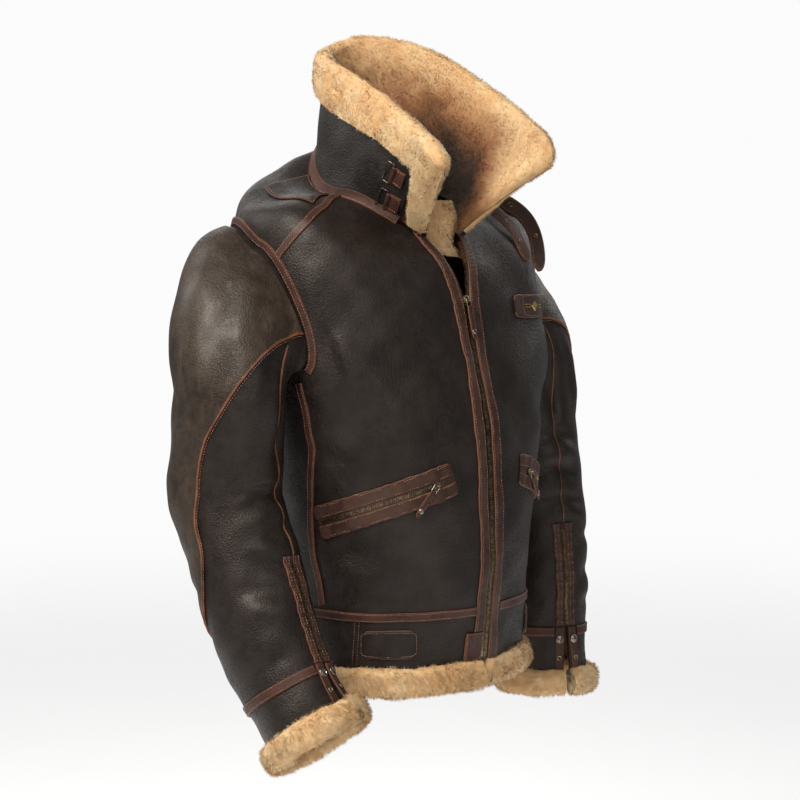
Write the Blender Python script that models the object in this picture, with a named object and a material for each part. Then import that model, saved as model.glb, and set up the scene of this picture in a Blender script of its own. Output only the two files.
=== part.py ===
"""A shearling flying jacket, filled out as when worn, with nobody in it.

Metres, +Z up. The front faces -Y and the wearer's right is -X. The origin is the middle
of the neckline, at the height where the shoulder seams meet the collar.
"""

import collections
import math

import bmesh
import bpy
import numpy as np
from mathutils import Vector

# ---------------------------------------------------------------- driving sizes

WALL = 0.0040  # leather with its clipped pile
SEAM = 0.0003  # gap between two pieces at a seam
HALF_SEAM = SEAM / 2
LIFT = 0.0010  # air under a piece that lies on a panel
STRAP_LEATHER = 0.0016
PATCH_LIFT = 0.0018  # on the shoulder, which is hollow beside the collar

RIGHT = -1  # sign of X on the wearer's right
LEFT = 1
SIDES = (("right", RIGHT), ("left", LEFT))

# The body, ring by ring from the leather hem to the neckline.
TORSO_COLUMNS = ("side_z", "front_z", "back_z", "half_width", "front_y", "back_y", "power")
TORSO_RINGS = (
    (-0.567, -0.567, -0.567, 0.162, -0.160, 0.106, 2.10),
    (-0.500, -0.500, -0.500, 0.162, -0.168, 0.108, 2.10),
    (-0.430, -0.430, -0.430, 0.166, -0.174, 0.110, 2.15),
    (-0.360, -0.362, -0.358, 0.174, -0.173, 0.113, 2.20),
    (-0.290, -0.294, -0.285, 0.188, -0.166, 0.120, 2.45),
    (-0.205, -0.222, -0.190, 0.210, -0.153, 0.130, 2.65),
    (-0.135, -0.172, -0.105, 0.215, -0.140, 0.135, 2.65),
    (-0.066, -0.127, -0.020, 0.217, -0.130, 0.134, 2.60),
    (-0.018, -0.094, 0.032, 0.204, -0.121, 0.128, 2.35),
    (-0.003, -0.073, 0.056, 0.148, -0.108, 0.115, 2.10),
    (0.000, -0.056, 0.068, 0.086, -0.095, 0.098, 2.00),
)
HEM_ROW, WAIST_ROW, ARMPIT_ROW, TIP_ROW, NECK_ROW = 0.0, 1.0, 5.0, 7.42, 10.0

# The armhole, an oval in degrees round the body and in rows up it. Alpha runs round it from
# 0 at the armpit to 180 at the shoulder tip, and the shoulder seam meets its front edge.
ARMPIT_ANGLE, TIP_ANGLE = 80.0, 106.0
ARMHOLE_FORWARD, ARMHOLE_BACKWARD = 16.5, 32.0
ARMHOLE_STEPS = 10
SEAM_ALPHA = 126.0
SEAM_ALPHA_GAP = 0.35  # each side of the shoulder seam
SIDE_SEAM = (84.0, 85.0, 89.5, 88.0, 81.5, 80.0)  # degrees at the rows from the hem to the armpit
# The back_row is the height of the same line at the middle of the back.
SHOULDER_SEAM_COLUMNS = ("row", "angle", "back_row")
SHOULDER_SEAM = (
    (6.92, 87.2, 8.30),
    (7.12, 80.0, 8.42),
    (7.65, 70.4, 8.65),
    (8.15, 67.0, 8.87),
    (8.85, 70.8, 9.25),
    (9.50, 79.6, 9.63),
    (10.0, 88.0, 10.0),
)
BACK_LINE_RISE = 4  # how fast a line of the back climbs from the armhole

# The sleeves: the middle line and half sizes, from the end of the cap to the leather's end.
SLEEVE_COLUMNS = ("z", "out", "y", "half_width", "half_depth")
SLEEVE_ROWS = {
    RIGHT: (
        (-0.235, 0.269, -0.001, 0.057, 0.073),
        (-0.300, 0.263, 0.011, 0.061, 0.073),
        (-0.360, 0.263, 0.011, 0.062, 0.071),
        (-0.415, 0.262, -0.013, 0.062, 0.067),
        (-0.468, 0.263, -0.034, 0.062, 0.064),
        (-0.518, 0.263, -0.060, 0.060, 0.063),
        (-0.566, 0.260, -0.086, 0.057, 0.060),
        (-0.609, 0.253, -0.116, 0.057, 0.061),
    ),
    LEFT: (
        (-0.235, 0.269, 0.004, 0.057, 0.073),
        (-0.300, 0.262, -0.005, 0.060, 0.071),
        (-0.360, 0.262, -0.018, 0.061, 0.069),
        (-0.415, 0.262, -0.027, 0.062, 0.065),
        (-0.470, 0.262, -0.034, 0.060, 0.062),
        (-0.522, 0.262, -0.040, 0.057, 0.060),
        (-0.574, 0.260, -0.044, 0.052, 0.055),
        (-0.632, 0.258, -0.047, 0.053, 0.057),
    ),
}
CAP_START = (0.92, -0.28)  # outward and upward parts of the way in which the cap leaves the armhole
CAP_BULGE = (0.003, 0.014, 0.014)  # outward, backward and upward, where the cap is fullest
CAP_BULGE_TURN = -45.0
CUFF_ROW, SLEEVE_END_ROW = 7.0, 8.0
FRONT_SEAM_TURN, BACK_SEAM_TURN = 108.0, 252.0

# The collar: base angles on the neckline, and the crest of the fur above each.
COLLAR_FRONT_ANGLE = 20.0
COLLAR_COLUMNS = ("x", "y", "z")
COLLAR_CREST = (
    (-0.108, -0.200, 0.041),
    (-0.089, -0.118, 0.093),
    (-0.078, -0.035, 0.138),
    (-0.058, 0.050, 0.172),
    (0.000, 0.103, 0.192),
    (0.062, 0.092, 0.207),
    (0.106, 0.020, 0.186),
    (0.134, -0.085, 0.120),
    (0.163, -0.157, 0.052),
)
COLLAR_ROLL = 0.013  # the fur above the leather's edge
COLLAR_FUR = 0.011
COLLAR_LEATHER = 0.0024
COLLAR_SLOT = 0.0014

HEM_FUR_HEIGHT, HEM_FUR_WIDTH = 0.034, 0.026
CUFF_FUR_HEIGHT, CUFF_FUR_WIDTH = 0.034, 0.026

# The front opening.
TEETH_HALF = 0.0045
OPEN_ROW = 6.9  # the slider's place: the fronts part above it
OPEN_HALF_AT_NECK = 0.031
STRIP_WIDTH = 0.0155

ROWS_A_DEGREE = 0.04  # near the armhole, about the same length both ways
ARMHOLE_GAP = 0.10  # degrees

# ---------------------------------------------------------------- scene


def clear_scene():
    for thing in list(bpy.data.objects):
        bpy.data.objects.remove(thing, do_unlink=True)


clear_scene()
JACKET = bpy.data.collections.new("flying_jacket")
bpy.context.scene.collection.children.link(JACKET)


def material(name, colour, roughness, metallic=0.0):
    made = bpy.data.materials.new(name)
    made.use_nodes = True
    shader = made.node_tree.nodes["Principled BSDF"]
    shader.inputs["Base Color"].default_value = (*colour, 1.0)
    shader.inputs["Roughness"].default_value = roughness
    shader.inputs["Metallic"].default_value = metallic
    made.diffuse_color = (*colour, 1.0)
    return made


DARK_LEATHER = material("dark_leather", (0.026, 0.019, 0.015), 0.45)
OVERLAY_LEATHER = material("overlay_leather", (0.07, 0.04, 0.02), 0.35)
TAPE_LEATHER = material("tape_leather", (0.10, 0.03, 0.015), 0.45)
FUR = material("fur", (0.60, 0.38, 0.16), 0.9)
BRASS = material("antique_brass", (0.20, 0.15, 0.09), 0.4, 1.0)

# ---------------------------------------------------------------- tools


SPLIT_WAY = Vector((0.6, 0.8, 0.0))


def unit(vector):
    return vector / np.linalg.norm(vector)


def table_at(table, row):
    """Every column of a table at a fractional row number, on a smooth curve through its rows."""
    table = np.asarray(table, float)
    last = len(table) - 1
    row = min(max(row, 0.0), float(last))
    low = min(int(row), last - 1)
    part = row - low
    here, after = table[low], table[low + 1]
    before = table[low - 1] if low > 0 else 2 * here - after
    beyond = table[low + 2] if low + 2 <= last else 2 * after - here
    slope_in, slope_out = (after - before) / 2, (beyond - here) / 2
    square, cube = part**2, part**3
    return (
        here * (2 * cube - 3 * square + 1)
        + slope_in * (cube - 2 * square + part)
        + after * (3 * square - 2 * cube)
        + slope_out * (cube - square)
    )


def named_row(columns, table, row):
    return dict(zip(columns, table_at(table, row)))


def signed_power(value, exponent):
    return math.copysign(abs(value) ** exponent, value)


def split_quad(corners):
    """Two triangles, split so that two layers of one wall are split the same way."""
    a, b, c, d = corners
    one, two = c.co - a.co, d.co - b.co
    if abs(one.length - two.length) > 0.04 * one.length:
        first = one.length < two.length
    else:
        first = one.z * one.dot(SPLIT_WAY) > two.z * two.dot(SPLIT_WAY)
    return ((a, b, c), (a, c, d)) if first else ((a, b, d), (b, c, d))


def solid_from_grids(name, outer, inner, finish, keep=None):
    """A wall between two grids of points. Where keep is given, only cells it says yes to are built."""
    mesh = bmesh.new()
    made = {}

    def vert(layer, i, j):
        key = (layer, i, j)
        if key not in made:
            made[key] = mesh.verts.new((outer if layer else inner)[i][j])
        return made[key]

    cells = {
        (i, j)
        for i in range(len(outer) - 1)
        for j in range(len(outer[0]) - 1)
        if keep is None or keep(i, j)
    }
    for i, j in cells:
        ring = ((i, j), (i, j + 1), (i + 1, j + 1), (i + 1, j))
        for layer in (0, 1):
            corners = [vert(layer, *corner) for corner in ring]
            for triangle in split_quad(corners):
                mesh.faces.new(triangle if layer else triangle[::-1])
        beside = ((i - 1, j), (i, j + 1), (i + 1, j), (i, j - 1))
        for k, neighbour in enumerate(beside):
            if neighbour not in cells:
                start, end = ring[k], ring[(k + 1) % 4]
                mesh.faces.new((vert(1, *end), vert(1, *start), vert(0, *start), vert(0, *end)))
    return add_mesh(name, mesh, finish)


def solid_from_faces(name, outer, inner, faces, finish):
    """A wall between two layers of the same triangles, closed round its edges."""
    mesh = bmesh.new()
    above, below = [mesh.verts.new(p) for p in outer], [mesh.verts.new(p) for p in inner]
    edges = {}
    for face in faces:
        mesh.faces.new([above[k] for k in face])
        mesh.faces.new([below[k] for k in face[::-1]])
        for start, end in zip(face, face[1:] + face[:1]):
            edges[(start, end)] = True
    for start, end in edges:
        if (end, start) not in edges:
            mesh.faces.new((above[end], above[start], below[start], below[end]))
    return add_mesh(name, mesh, finish)


def solid_from_cells(name, breaks, keep, place, finish):
    """One body from boxes on a grid of three lists of breaks, each corner put in its place."""
    mesh = bmesh.new()
    made = {}

    def vert(corner):
        if corner not in made:
            made[corner] = mesh.verts.new(place(*(breaks[axis][corner[axis]] for axis in range(3))))
        return made[corner]

    counts = [len(axis) - 1 for axis in breaks]
    cells = {
        (i, j, k)
        for i in range(counts[0])
        for j in range(counts[1])
        for k in range(counts[2])
        if keep(i, j, k)
    }
    for cell in cells:
        for axis in range(3):
            for end in (0, 1):
                neighbour = list(cell)
                neighbour[axis] += 1 if end else -1
                if tuple(neighbour) in cells:
                    continue
                base = list(cell)
                base[axis] += end
                one, two = [other for other in range(3) if other != axis]
                ring = []
                for step_one, step_two in ((0, 0), (1, 0), (1, 1), (0, 1)):
                    corner = list(base)
                    corner[one] += step_one
                    corner[two] += step_two
                    ring.append(vert(tuple(corner)))
                mesh.faces.new(ring)
    return add_mesh(name, mesh, finish)


def solid_from_sections(name, sections, finish):
    """A bar lofted through closed sections with the same number of points, capped at both ends."""
    mesh = bmesh.new()
    rings = [[mesh.verts.new(p) for p in section] for section in sections]
    count = len(rings[0])
    for ring, following in zip(rings, rings[1:]):
        for j in range(count):
            k = (j + 1) % count
            mesh.faces.new((ring[j], ring[k], following[k], following[j]))
    mesh.faces.new(rings[0][::-1])
    mesh.faces.new(rings[-1])
    return add_mesh(name, mesh, finish)


def add_mesh(name, mesh, finish):
    bmesh.ops.triangulate(mesh, faces=mesh.faces)
    bmesh.ops.recalc_face_normals(mesh, faces=mesh.faces)
    if mesh.calc_volume(signed=True) < 0:
        bmesh.ops.reverse_faces(mesh, faces=mesh.faces)
    data = bpy.data.meshes.new(name)
    mesh.to_mesh(data)
    mesh.free()
    data.materials.append(finish)
    data.shade_smooth()
    data.set_sharp_from_angle(angle=math.radians(40))
    made = bpy.data.objects.new(name, data)
    JACKET.objects.link(made)
    return made


def steps(first, last, count):
    return [first + (last - first) * k / count for k in range(count + 1)]


# ---------------------------------------------------------------- the body's surface


def torso(angle, row):
    """A point of the body's outside. The angle is in degrees from the centre front, the wearer's right above 0."""
    ring = named_row(TORSO_COLUMNS, TORSO_RINGS, row)
    turn = math.radians(angle)
    sine, cosine = math.sin(turn), math.cos(turn)
    exponent = 2 / ring["power"]
    middle = (ring["front_y"] + ring["back_y"]) / 2
    half_depth = (ring["back_y"] - ring["front_y"]) / 2
    x = -ring["half_width"] * signed_power(sine, exponent)
    y = middle - half_depth * signed_power(cosine, exponent)
    end_z = ring["front_z"] if cosine > 0 else ring["back_z"]
    z = ring["side_z"] + (end_z - ring["side_z"]) * cosine**2
    return np.array((x, y, z))


TORSO_STEP = (0.5, 0.02)


def slopes(surface, u, v, step):
    along_u = (surface(u + step[0], v) - surface(u - step[0], v)) / (2 * step[0])
    low, high = v - step[1], v + step[1]
    along_v = (surface(u, high) - surface(u, low)) / (2 * step[1])
    return along_u, along_v


def torso_normal(angle, row):
    row = min(max(row, 2 * TORSO_STEP[1]), NECK_ROW - 2 * TORSO_STEP[1])
    across, up = slopes(torso, angle, row, TORSO_STEP)
    return unit(np.cross(up, across))


def angle_at_x(row, half_gap):
    """The angle at which the body's front is this far from the centre line."""
    ring = named_row(TORSO_COLUMNS, TORSO_RINGS, row)
    return math.degrees(math.asin((half_gap / ring["half_width"]) ** (ring["power"] / 2)))


def opening_half(row):
    """Half the gap between the fronts: the teeth's width up to the slider, then a widening V."""
    if row <= OPEN_ROW:
        return TEETH_HALF + SEAM
    part = (row - OPEN_ROW) / (NECK_ROW - OPEN_ROW)
    return TEETH_HALF + SEAM + (OPEN_HALF_AT_NECK - TEETH_HALF) * part


def armhole_spot(alpha, forward, grow=0.0):
    """(angle, row) on the armhole's edge, grown outward by so many degrees."""
    turn = math.radians(alpha)
    lift = (1 - math.cos(turn)) / 2
    middle = ARMPIT_ANGLE + (TIP_ANGLE - ARMPIT_ANGLE) * lift
    reach = -(ARMHOLE_FORWARD + grow) if forward else ARMHOLE_BACKWARD + grow
    grow_rows = grow * ROWS_A_DEGREE
    row = (ARMPIT_ROW - grow_rows) + (TIP_ROW - ARMPIT_ROW + 2 * grow_rows) * lift
    return middle + reach * math.sin(turn), row


def armhole_point(side, turn, grow=0.0):
    """The armhole's edge at a turn of the sleeve: 0 outside and up, 90 front, 180 under the arm, 270 back."""
    turn %= 360
    forward = turn <= 180
    angle, row = armhole_spot(180 - turn if forward else turn - 180, forward, grow)
    return torso(-side * angle, row)


def sleeve_centre(side, row):
    line = named_row(SLEEVE_COLUMNS, SLEEVE_ROWS[side], row)
    return np.array((side * line["out"], line["y"], line["z"]))


def tube(side, turn, row):
    line = named_row(SLEEVE_COLUMNS, SLEEVE_ROWS[side], row)
    centre = sleeve_centre(side, row)
    down = unit(sleeve_centre(side, min(row + 0.1, 7.0)) - sleeve_centre(side, max(row - 0.1, 0.0)))
    outward = np.array((side, 0.0, 0.0))
    outward = unit(outward - down * outward.dot(down))
    forward = np.array((0.0, -1.0, 0.0))
    forward = unit(forward - down * forward.dot(down))
    angle = math.radians(turn)
    return (
        centre
        + outward * line["half_width"] * math.cos(angle)
        + forward * line["half_depth"] * math.sin(angle)
    )


def sleeve(side, turn, row):
    """A point of a sleeve's outside. Row 0 is the armhole, 1 the end of the cap, 8 the leather's end."""
    if row >= 1:
        return tube(side, turn, row - 1)
    start, end = armhole_point(side, turn), tube(side, turn, 0.0)
    reach = np.linalg.norm(end - start)
    leave = np.array((side * CAP_START[0], 0.0, CAP_START[1])) * reach
    arrive = unit(tube(side, turn, 0.1) - end) * reach
    square, cube = row**2, row**3
    fullness = max(math.cos(math.radians(turn - CAP_BULGE_TURN)), 0.0) * 4 * row * (1 - row)
    return (
        start * (2 * cube - 3 * square + 1)
        + leave * (cube - 2 * square + row)
        + end * (3 * square - 2 * cube)
        + arrive * (cube - square)
        + np.array((side * CAP_BULGE[0], CAP_BULGE[1], CAP_BULGE[2])) * fullness
    )


def sleeve_normal(side, turn, row):
    row = min(max(row, 0.05), SLEEVE_END_ROW - 0.05)
    around, down = slopes(lambda u, v: sleeve(side, u, v), turn, row, (1.0, 0.04))
    return unit(np.cross(around, down)) * side


def armhole_normal(side, turn):
    """Shared by the body's and the sleeve's edges, so that they meet face to face."""
    turn %= 360
    forward = turn <= 180
    angle, row = armhole_spot(180 - turn if forward else turn - 180, forward)
    return unit(torso_normal(-side * angle, row) + sleeve_normal(side, turn, 0.0))


# ---------------------------------------------------------------- body panels


def half_seam_in_degrees(angle, row):
    return HALF_SEAM / np.linalg.norm(slopes(torso, angle, min(max(row, 0.1), 9.9), TORSO_STEP)[0])


def half_seam_in_rows(row):
    return HALF_SEAM / np.linalg.norm(slopes(torso, 90, min(max(row, 0.1), 9.9), TORSO_STEP)[1])


def side_seam_edges(forward):
    """Places (angle, row, row at the back's middle, seam turn) up the side and the shoulder seam.

    The seam turn is the sleeve's turn where the edge is the armhole's, and None elsewhere.
    """
    toward = -1 if forward else 1
    places = []
    for row in steps(WAIST_ROW, ARMPIT_ROW, 8)[:-1]:
        angle = table_at([(a,) for a in SIDE_SEAM], row)[0]
        places.append((angle + toward * half_seam_in_degrees(angle, row), row, row, None))
    if forward:
        for alpha in steps(0, SEAM_ALPHA, 7)[:-1] + [SEAM_ALPHA - SEAM_ALPHA_GAP]:
            angle, row = armhole_spot(alpha, True, ARMHOLE_GAP)
            places.append((angle, row, row, 180 - alpha))
    else:
        for alpha in steps(0, 180, ARMHOLE_STEPS):
            angle, row = armhole_spot(alpha, False, ARMHOLE_GAP)
            places.append((angle, row, row, 180 + alpha))
        over = steps(180, SEAM_ALPHA, 3)[1:-1] + [SEAM_ALPHA + SEAM_ALPHA_GAP]
        for k, alpha in enumerate(over):
            angle, row = armhole_spot(alpha, True, ARMHOLE_GAP)
            middle = TIP_ROW + (SHOULDER_SEAM[0][2] - TIP_ROW) * (k + 1) / len(over)
            places.append((angle, row, middle, 180 - alpha))
    for part in steps(0, len(SHOULDER_SEAM) - 1, 7)[1:]:
        row, angle, middle = table_at(SHOULDER_SEAM, part)
        places.append((angle + toward * half_seam_in_degrees(angle, row), row, middle, None))
    return places


def with_trimmed_ends(places):
    first, last = places[0], places[-1]
    low = first[1] + half_seam_in_rows(first[1])
    high = last[1] - half_seam_in_rows(last[1])
    ends = ((first[0], low, low, first[3]), (last[0], high, high, last[3]))
    return [ends[0]] + places[1:-1] + [ends[1]]


def wall_at(angle, row, seam_turn=None, side=RIGHT):
    """(outer, inner) points of the body's wall."""
    normal = torso_normal(angle, row) if seam_turn is None else armhole_normal(side, seam_turn)
    point = torso(angle, row)
    return point, point - normal * WALL


def make_front(name, side):
    outer, inner = [], []
    for edge, row, _, seam_turn in with_trimmed_ends(side_seam_edges(True)):
        centre = angle_at_x(row, opening_half(row))
        line = [
            wall_at(-side * angle, row, seam_turn if k == FRONT_COLUMNS else None, side)
            for k, angle in enumerate(steps(centre, edge, FRONT_COLUMNS))
        ]
        outer.append([p for p, _ in line])
        inner.append([p for _, p in line])
    return solid_from_grids(name, outer, inner, DARK_LEATHER)


FRONT_COLUMNS, BACK_HALF_COLUMNS = 9, 8


def make_back():
    outer, inner = [], []
    for edge, row, middle_row, seam_turn in with_trimmed_ends(side_seam_edges(False)):
        halves = {}
        for side in (RIGHT, LEFT):
            line = []
            for k, angle in enumerate(steps(edge, 180, BACK_HALF_COLUMNS)):
                part = 1 - (1 - k / BACK_HALF_COLUMNS) ** BACK_LINE_RISE
                here = row + (middle_row - row) * part
                line.append(wall_at(-side * angle, here, seam_turn if k == 0 else None, side))
            halves[side] = line
        line = halves[RIGHT] + halves[LEFT][-2::-1]
        outer.append([p for p, _ in line])
        inner.append([p for _, p in line])
    return solid_from_grids("back", outer, inner, DARK_LEATHER)


def make_waistband():
    trim = half_seam_in_rows(WAIST_ROW)
    rows = steps(HEM_ROW, WAIST_ROW - trim, 2)
    for name, side in SIDES:
        outer, inner = [], []
        for row in rows:
            edge = table_at([(a,) for a in SIDE_SEAM], row)[0]
            edge -= half_seam_in_degrees(edge, row)
            centre = angle_at_x(row, opening_half(row))
            line = [wall_at(-side * angle, row) for angle in steps(centre, edge, FRONT_COLUMNS)]
            outer.append([p for p, _ in line])
            inner.append([p for _, p in line])
        solid_from_grids("waistband_" + name, outer, inner, DARK_LEATHER)
    outer, inner = [], []
    for row in rows:
        edge = table_at([(a,) for a in SIDE_SEAM], row)[0]
        edge += half_seam_in_degrees(edge, row)
        line = [wall_at(angle, row) for angle in steps(edge, 360 - edge, 2 * BACK_HALF_COLUMNS)]
        outer.append([p for p, _ in line])
        inner.append([p for _, p in line])
    solid_from_grids("waistband_back", outer, inner, DARK_LEATHER)


# ---------------------------------------------------------------- sleeves


def sleeve_row_list():
    return steps(0, 1, 5) + steps(1, CUFF_ROW, 12)[1:]


def sleeve_grids(side, rows, first, last, count):
    outer, inner = [], []
    for row in rows:
        around = slopes(lambda u, v: sleeve(side, u, v), first, max(row, 0.1), (1.0, 0.04))[0]
        trim = HALF_SEAM / np.linalg.norm(around)
        line_out, line_in = [], []
        for turn in steps(first + trim, last - trim, count):
            normal = armhole_normal(side, turn) if row == 0 else sleeve_normal(side, turn, row)
            point = sleeve(side, turn, row)
            line_out.append(point)
            line_in.append(point - normal * WALL)
        outer.append(line_out)
        inner.append(line_in)
    return outer, inner


def make_sleeve(name, side):
    rows = sleeve_row_list()
    rows[-1] -= 0.003
    top = sleeve_grids(side, rows, BACK_SEAM_TURN - 360, FRONT_SEAM_TURN, 12)
    solid_from_grids(f"sleeve_{name}_top", *top, DARK_LEATHER)
    under = sleeve_grids(side, rows, FRONT_SEAM_TURN, BACK_SEAM_TURN, 8)
    solid_from_grids(f"sleeve_{name}_under", *under, DARK_LEATHER)


CUFF_SLIT_TURN = {RIGHT: 103.0, LEFT: 112.0}
CUFF_SLIT_HALF = (2.4, 5.6)  # degrees at the cuff's seam and at its end


def cuff_slit_half(row):
    top, bottom = CUFF_SLIT_HALF
    return top + (bottom - top) * (row - CUFF_ROW)


def make_cuff(name, side):
    slit = CUFF_SLIT_TURN[side]
    outer, inner = [], []
    for row in steps(CUFF_ROW + 0.004, SLEEVE_END_ROW, 2):
        half = cuff_slit_half(row)
        grids = sleeve_grids(side, [row], slit + half, slit + 360 - half, 16)
        outer += grids[0]
        inner += grids[1]
    solid_from_grids("cuff_" + name, outer, inner, DARK_LEATHER)


# ---------------------------------------------------------------- fur


def lobe(centre, across, along, half_across, half_along, flat_top, count=10):
    """A rounded section: across it the fur's thickness, along it its height."""
    points = []
    for k in range(count):
        turn = 2 * math.pi * (k + 0.5) / count
        a = signed_power(math.cos(turn), 0.75) * half_across
        b = min(signed_power(math.sin(turn), 0.75) * half_along, half_along - flat_top)
        points.append(centre + across * a + along * b)
    return points


def make_hem_fur(name, side):
    """Half of the hem's fur, from the zip round the side to the middle of the back."""
    gap = angle_at_x(0.0, TEETH_HALF + SEAM)
    sections = []
    for angle in steps(gap, 180 - 0.1, 18):
        edge = torso(-side * angle, HEM_ROW)
        out = torso_normal(-side * angle, HEM_ROW)
        out = unit(np.array((out[0], out[1], 0.0)))
        up = np.array((0.0, 0.0, 1.0))
        centre = edge - out * 0.001 - up * (HEM_FUR_HEIGHT / 2 + SEAM)
        sections.append(lobe(centre, out, up, HEM_FUR_WIDTH / 2, HEM_FUR_HEIGHT / 2, 0.0))
    return solid_from_sections("hem_fur_" + name, sections, FUR)


def make_cuff_fur(name, side):
    sections = []
    slit, half = CUFF_SLIT_TURN[side], cuff_slit_half(SLEEVE_END_ROW)
    for turn in steps(slit + half, slit + 360 - half, 16):
        edge = sleeve(side, turn, SLEEVE_END_ROW)
        out = sleeve_normal(side, turn, SLEEVE_END_ROW)
        down = unit(sleeve(side, turn, SLEEVE_END_ROW) - sleeve(side, turn, SLEEVE_END_ROW - 0.2))
        centre = edge - out * 0.001 + down * (CUFF_FUR_HEIGHT / 2 + SEAM)
        sections.append(lobe(centre, out, -down, CUFF_FUR_WIDTH / 2, CUFF_FUR_HEIGHT / 2, 0.0))
    return solid_from_sections("cuff_fur_" + name, sections, FUR)


# ---------------------------------------------------------------- collar


def collar_base(u):
    return torso(COLLAR_FRONT_ANGLE + (180 - COLLAR_FRONT_ANGLE) * (u + 1), NECK_ROW)


def collar(u, h):
    """A point of the collar's middle layer: u from -1 at the right wing to 1 at the left, h from seam to edge."""
    base = collar_base(u) + np.array((0.0, 0.0, 0.0015))
    crest = table_at(COLLAR_CREST, (u + 1) / 2 * (len(COLLAR_CREST) - 1))
    edge = crest - unit(crest - base) * COLLAR_ROLL
    bend = (base + edge) / 2 + np.array((0.0, 0.0, 0.008))
    return base * (1 - h) ** 2 + bend * 2 * h * (1 - h) + edge * h**2


def collar_frame(u, h):
    """The point, its upward direction and its outward direction."""
    inside = min(max(u, -0.99), 0.99)
    around = unit(collar(inside + 0.01, h) - collar(inside - 0.01, h))
    up = unit(collar(u, min(h + 0.05, 1.0)) - collar(u, min(h + 0.05, 1.0) - 0.1))
    out = unit(np.cross(up, around))
    return collar(u, h), up, out


COLLAR_STATIONS = 24
COLLAR_LEATHER_END = 0.87
COLLAR_US = steps(-COLLAR_LEATHER_END, COLLAR_LEATHER_END, COLLAR_STATIONS)
COLLAR_HS = (0.0, 1 / 3, 2 / 3, 1.0)
WING_FUR = 0.88  # beyond this the fur covers the whole outside of the wing


def collar_offset(u, h, offset):
    """A point off the leather's middle, flat between the leather's own stations."""
    low = min(int(h * 3), 2)
    part = h * 3 - low
    ends = []
    for station in (COLLAR_HS[low], COLLAR_HS[low + 1]):
        point, _, out = collar_frame(u, station)
        ends.append(point + out * offset)
    return ends[0] * (1 - part) + ends[1] * part


def make_collar_leather():
    outer, inner = [], []
    for h in COLLAR_HS:
        outer.append([collar_offset(u, h, COLLAR_LEATHER / 2) for u in COLLAR_US])
        inner.append([collar_offset(u, h, -COLLAR_LEATHER / 2) for u in COLLAR_US])
    return solid_from_grids("collar_leather", outer, inner, DARK_LEATHER)


def collar_fur_lines(u, slot):
    """The pile's surface up the inside, over the edge and down the outside, and the slot's under it."""
    wing = abs(u) > WING_FUR
    outside = (1.0, 2 / 3, 1 / 3, 0.06) if wing else (1.0, 0.90, 0.78, 2 / 3)
    thick = COLLAR_FUR
    edge, up, out = collar_frame(u, 1.0)
    pile = [collar_offset(u, h, -thick) for h in COLLAR_HS]
    under = [collar_offset(u, h, -slot) for h in COLLAR_HS]
    for rise, offset in ((0.7, -0.75), (1.0, 0.0), (0.7, 0.75)):
        pile.append(edge + up * rise * COLLAR_ROLL + out * offset * thick)
        under.append(edge + up * COLLAR_SLOT + out * slot * offset / 0.75)
    for h in outside:
        pile.append(collar_offset(u, h, thick * (0.75 if h == outside[-1] else 1.0)))
        under.append(collar_offset(u, h, slot))
    return pile, under


def make_collar_fur(name, side):
    slot = COLLAR_LEATHER / 2 + COLLAR_SLOT
    stations = [-1.0, -0.96, -0.915] + COLLAR_US[: COLLAR_STATIONS // 2] + [-0.001]
    lines = [collar_fur_lines(side * -u, 0.0002 if u < -WING_FUR else slot) for u in stations]
    return solid_from_grids(name, [pile for pile, _ in lines], [under for _, under in lines], FUR)


# ---------------------------------------------------------------- pieces that lie on a panel

Skin = collections.namedtuple("Skin", "surface normal step")
TORSO = Skin(torso, torso_normal, TORSO_STEP)


def sleeve_facet(side, turn, row, surface):
    """A point or a normal of the sleeve, in a straight line between the rows of its solids."""
    rows = sleeve_row_list() + [7.5, SLEEVE_END_ROW]
    after = next((k for k, station in enumerate(rows) if station >= row and k > 0), len(rows) - 1)
    low, high = rows[after - 1], rows[after]
    part = (row - low) / (high - low)
    return surface(side, turn, low) * (1 - part) + surface(side, turn, high) * part


def sleeve_skin(side):
    return Skin(
        lambda turn, row: sleeve_facet(side, turn, row, sleeve),
        lambda turn, row: unit(sleeve_facet(side, turn, row, sleeve_normal)),
        (1.0, 0.04),
    )


def moved(skin, u, v, way):
    """The place (u, v) moved by a vector that lies along the surface."""
    start = skin.surface(u, v)
    for _ in range(3):
        left = way - (skin.surface(u, v) - start)
        along_u, along_v = slopes(skin.surface, u, v, skin.step)
        cross = along_u.dot(along_v)
        lengths = np.array(((along_u.dot(along_u), cross), (cross, along_v.dot(along_v))))
        change = np.linalg.solve(lengths, np.array((along_u.dot(left), along_v.dot(left))))
        u, v = u + change[0], v + change[1]
    return u, v


def ribbon_grids(skin, path, sideways, lift):
    """Grids for a strip along a path of places. Sideways gives (metres aside, thickness) for each station."""
    outer, inner = [], []
    last = len(path) - 1
    for k, (u, v) in enumerate(path):
        before, after = path[max(k - 1, 0)], path[min(k + 1, last)]
        along = skin.surface(*after) - skin.surface(*before)
        aside = unit(np.cross(skin.normal(u, v), along))
        line_out, line_in = [], []
        for metres, thickness in sideways(k, last):
            place = moved(skin, u, v, aside * metres)
            point, out = skin.surface(*place), skin.normal(*place)
            line_in.append(point + out * lift)
            line_out.append(point + out * (lift + thickness))
        outer.append(line_out)
        inner.append(line_in)
    return outer, inner


def ribbon(name, skin, path, half_width, finish, thickness=STRAP_LEATHER, lift=LIFT, spans=1, ends=None):
    """A strip with the same thickness all over. Ends narrows its first and last stations."""
    ends = ends or ()

    def sideways(k, last):
        from_end = min(k, last - k)
        width = half_width * (ends[from_end] if from_end < len(ends) else 1.0)
        return [(part, thickness) for part in steps(-width, width, spans)]

    outer, inner = ribbon_grids(skin, path, sideways, lift)
    return solid_from_grids(name, outer, inner, finish)


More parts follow.
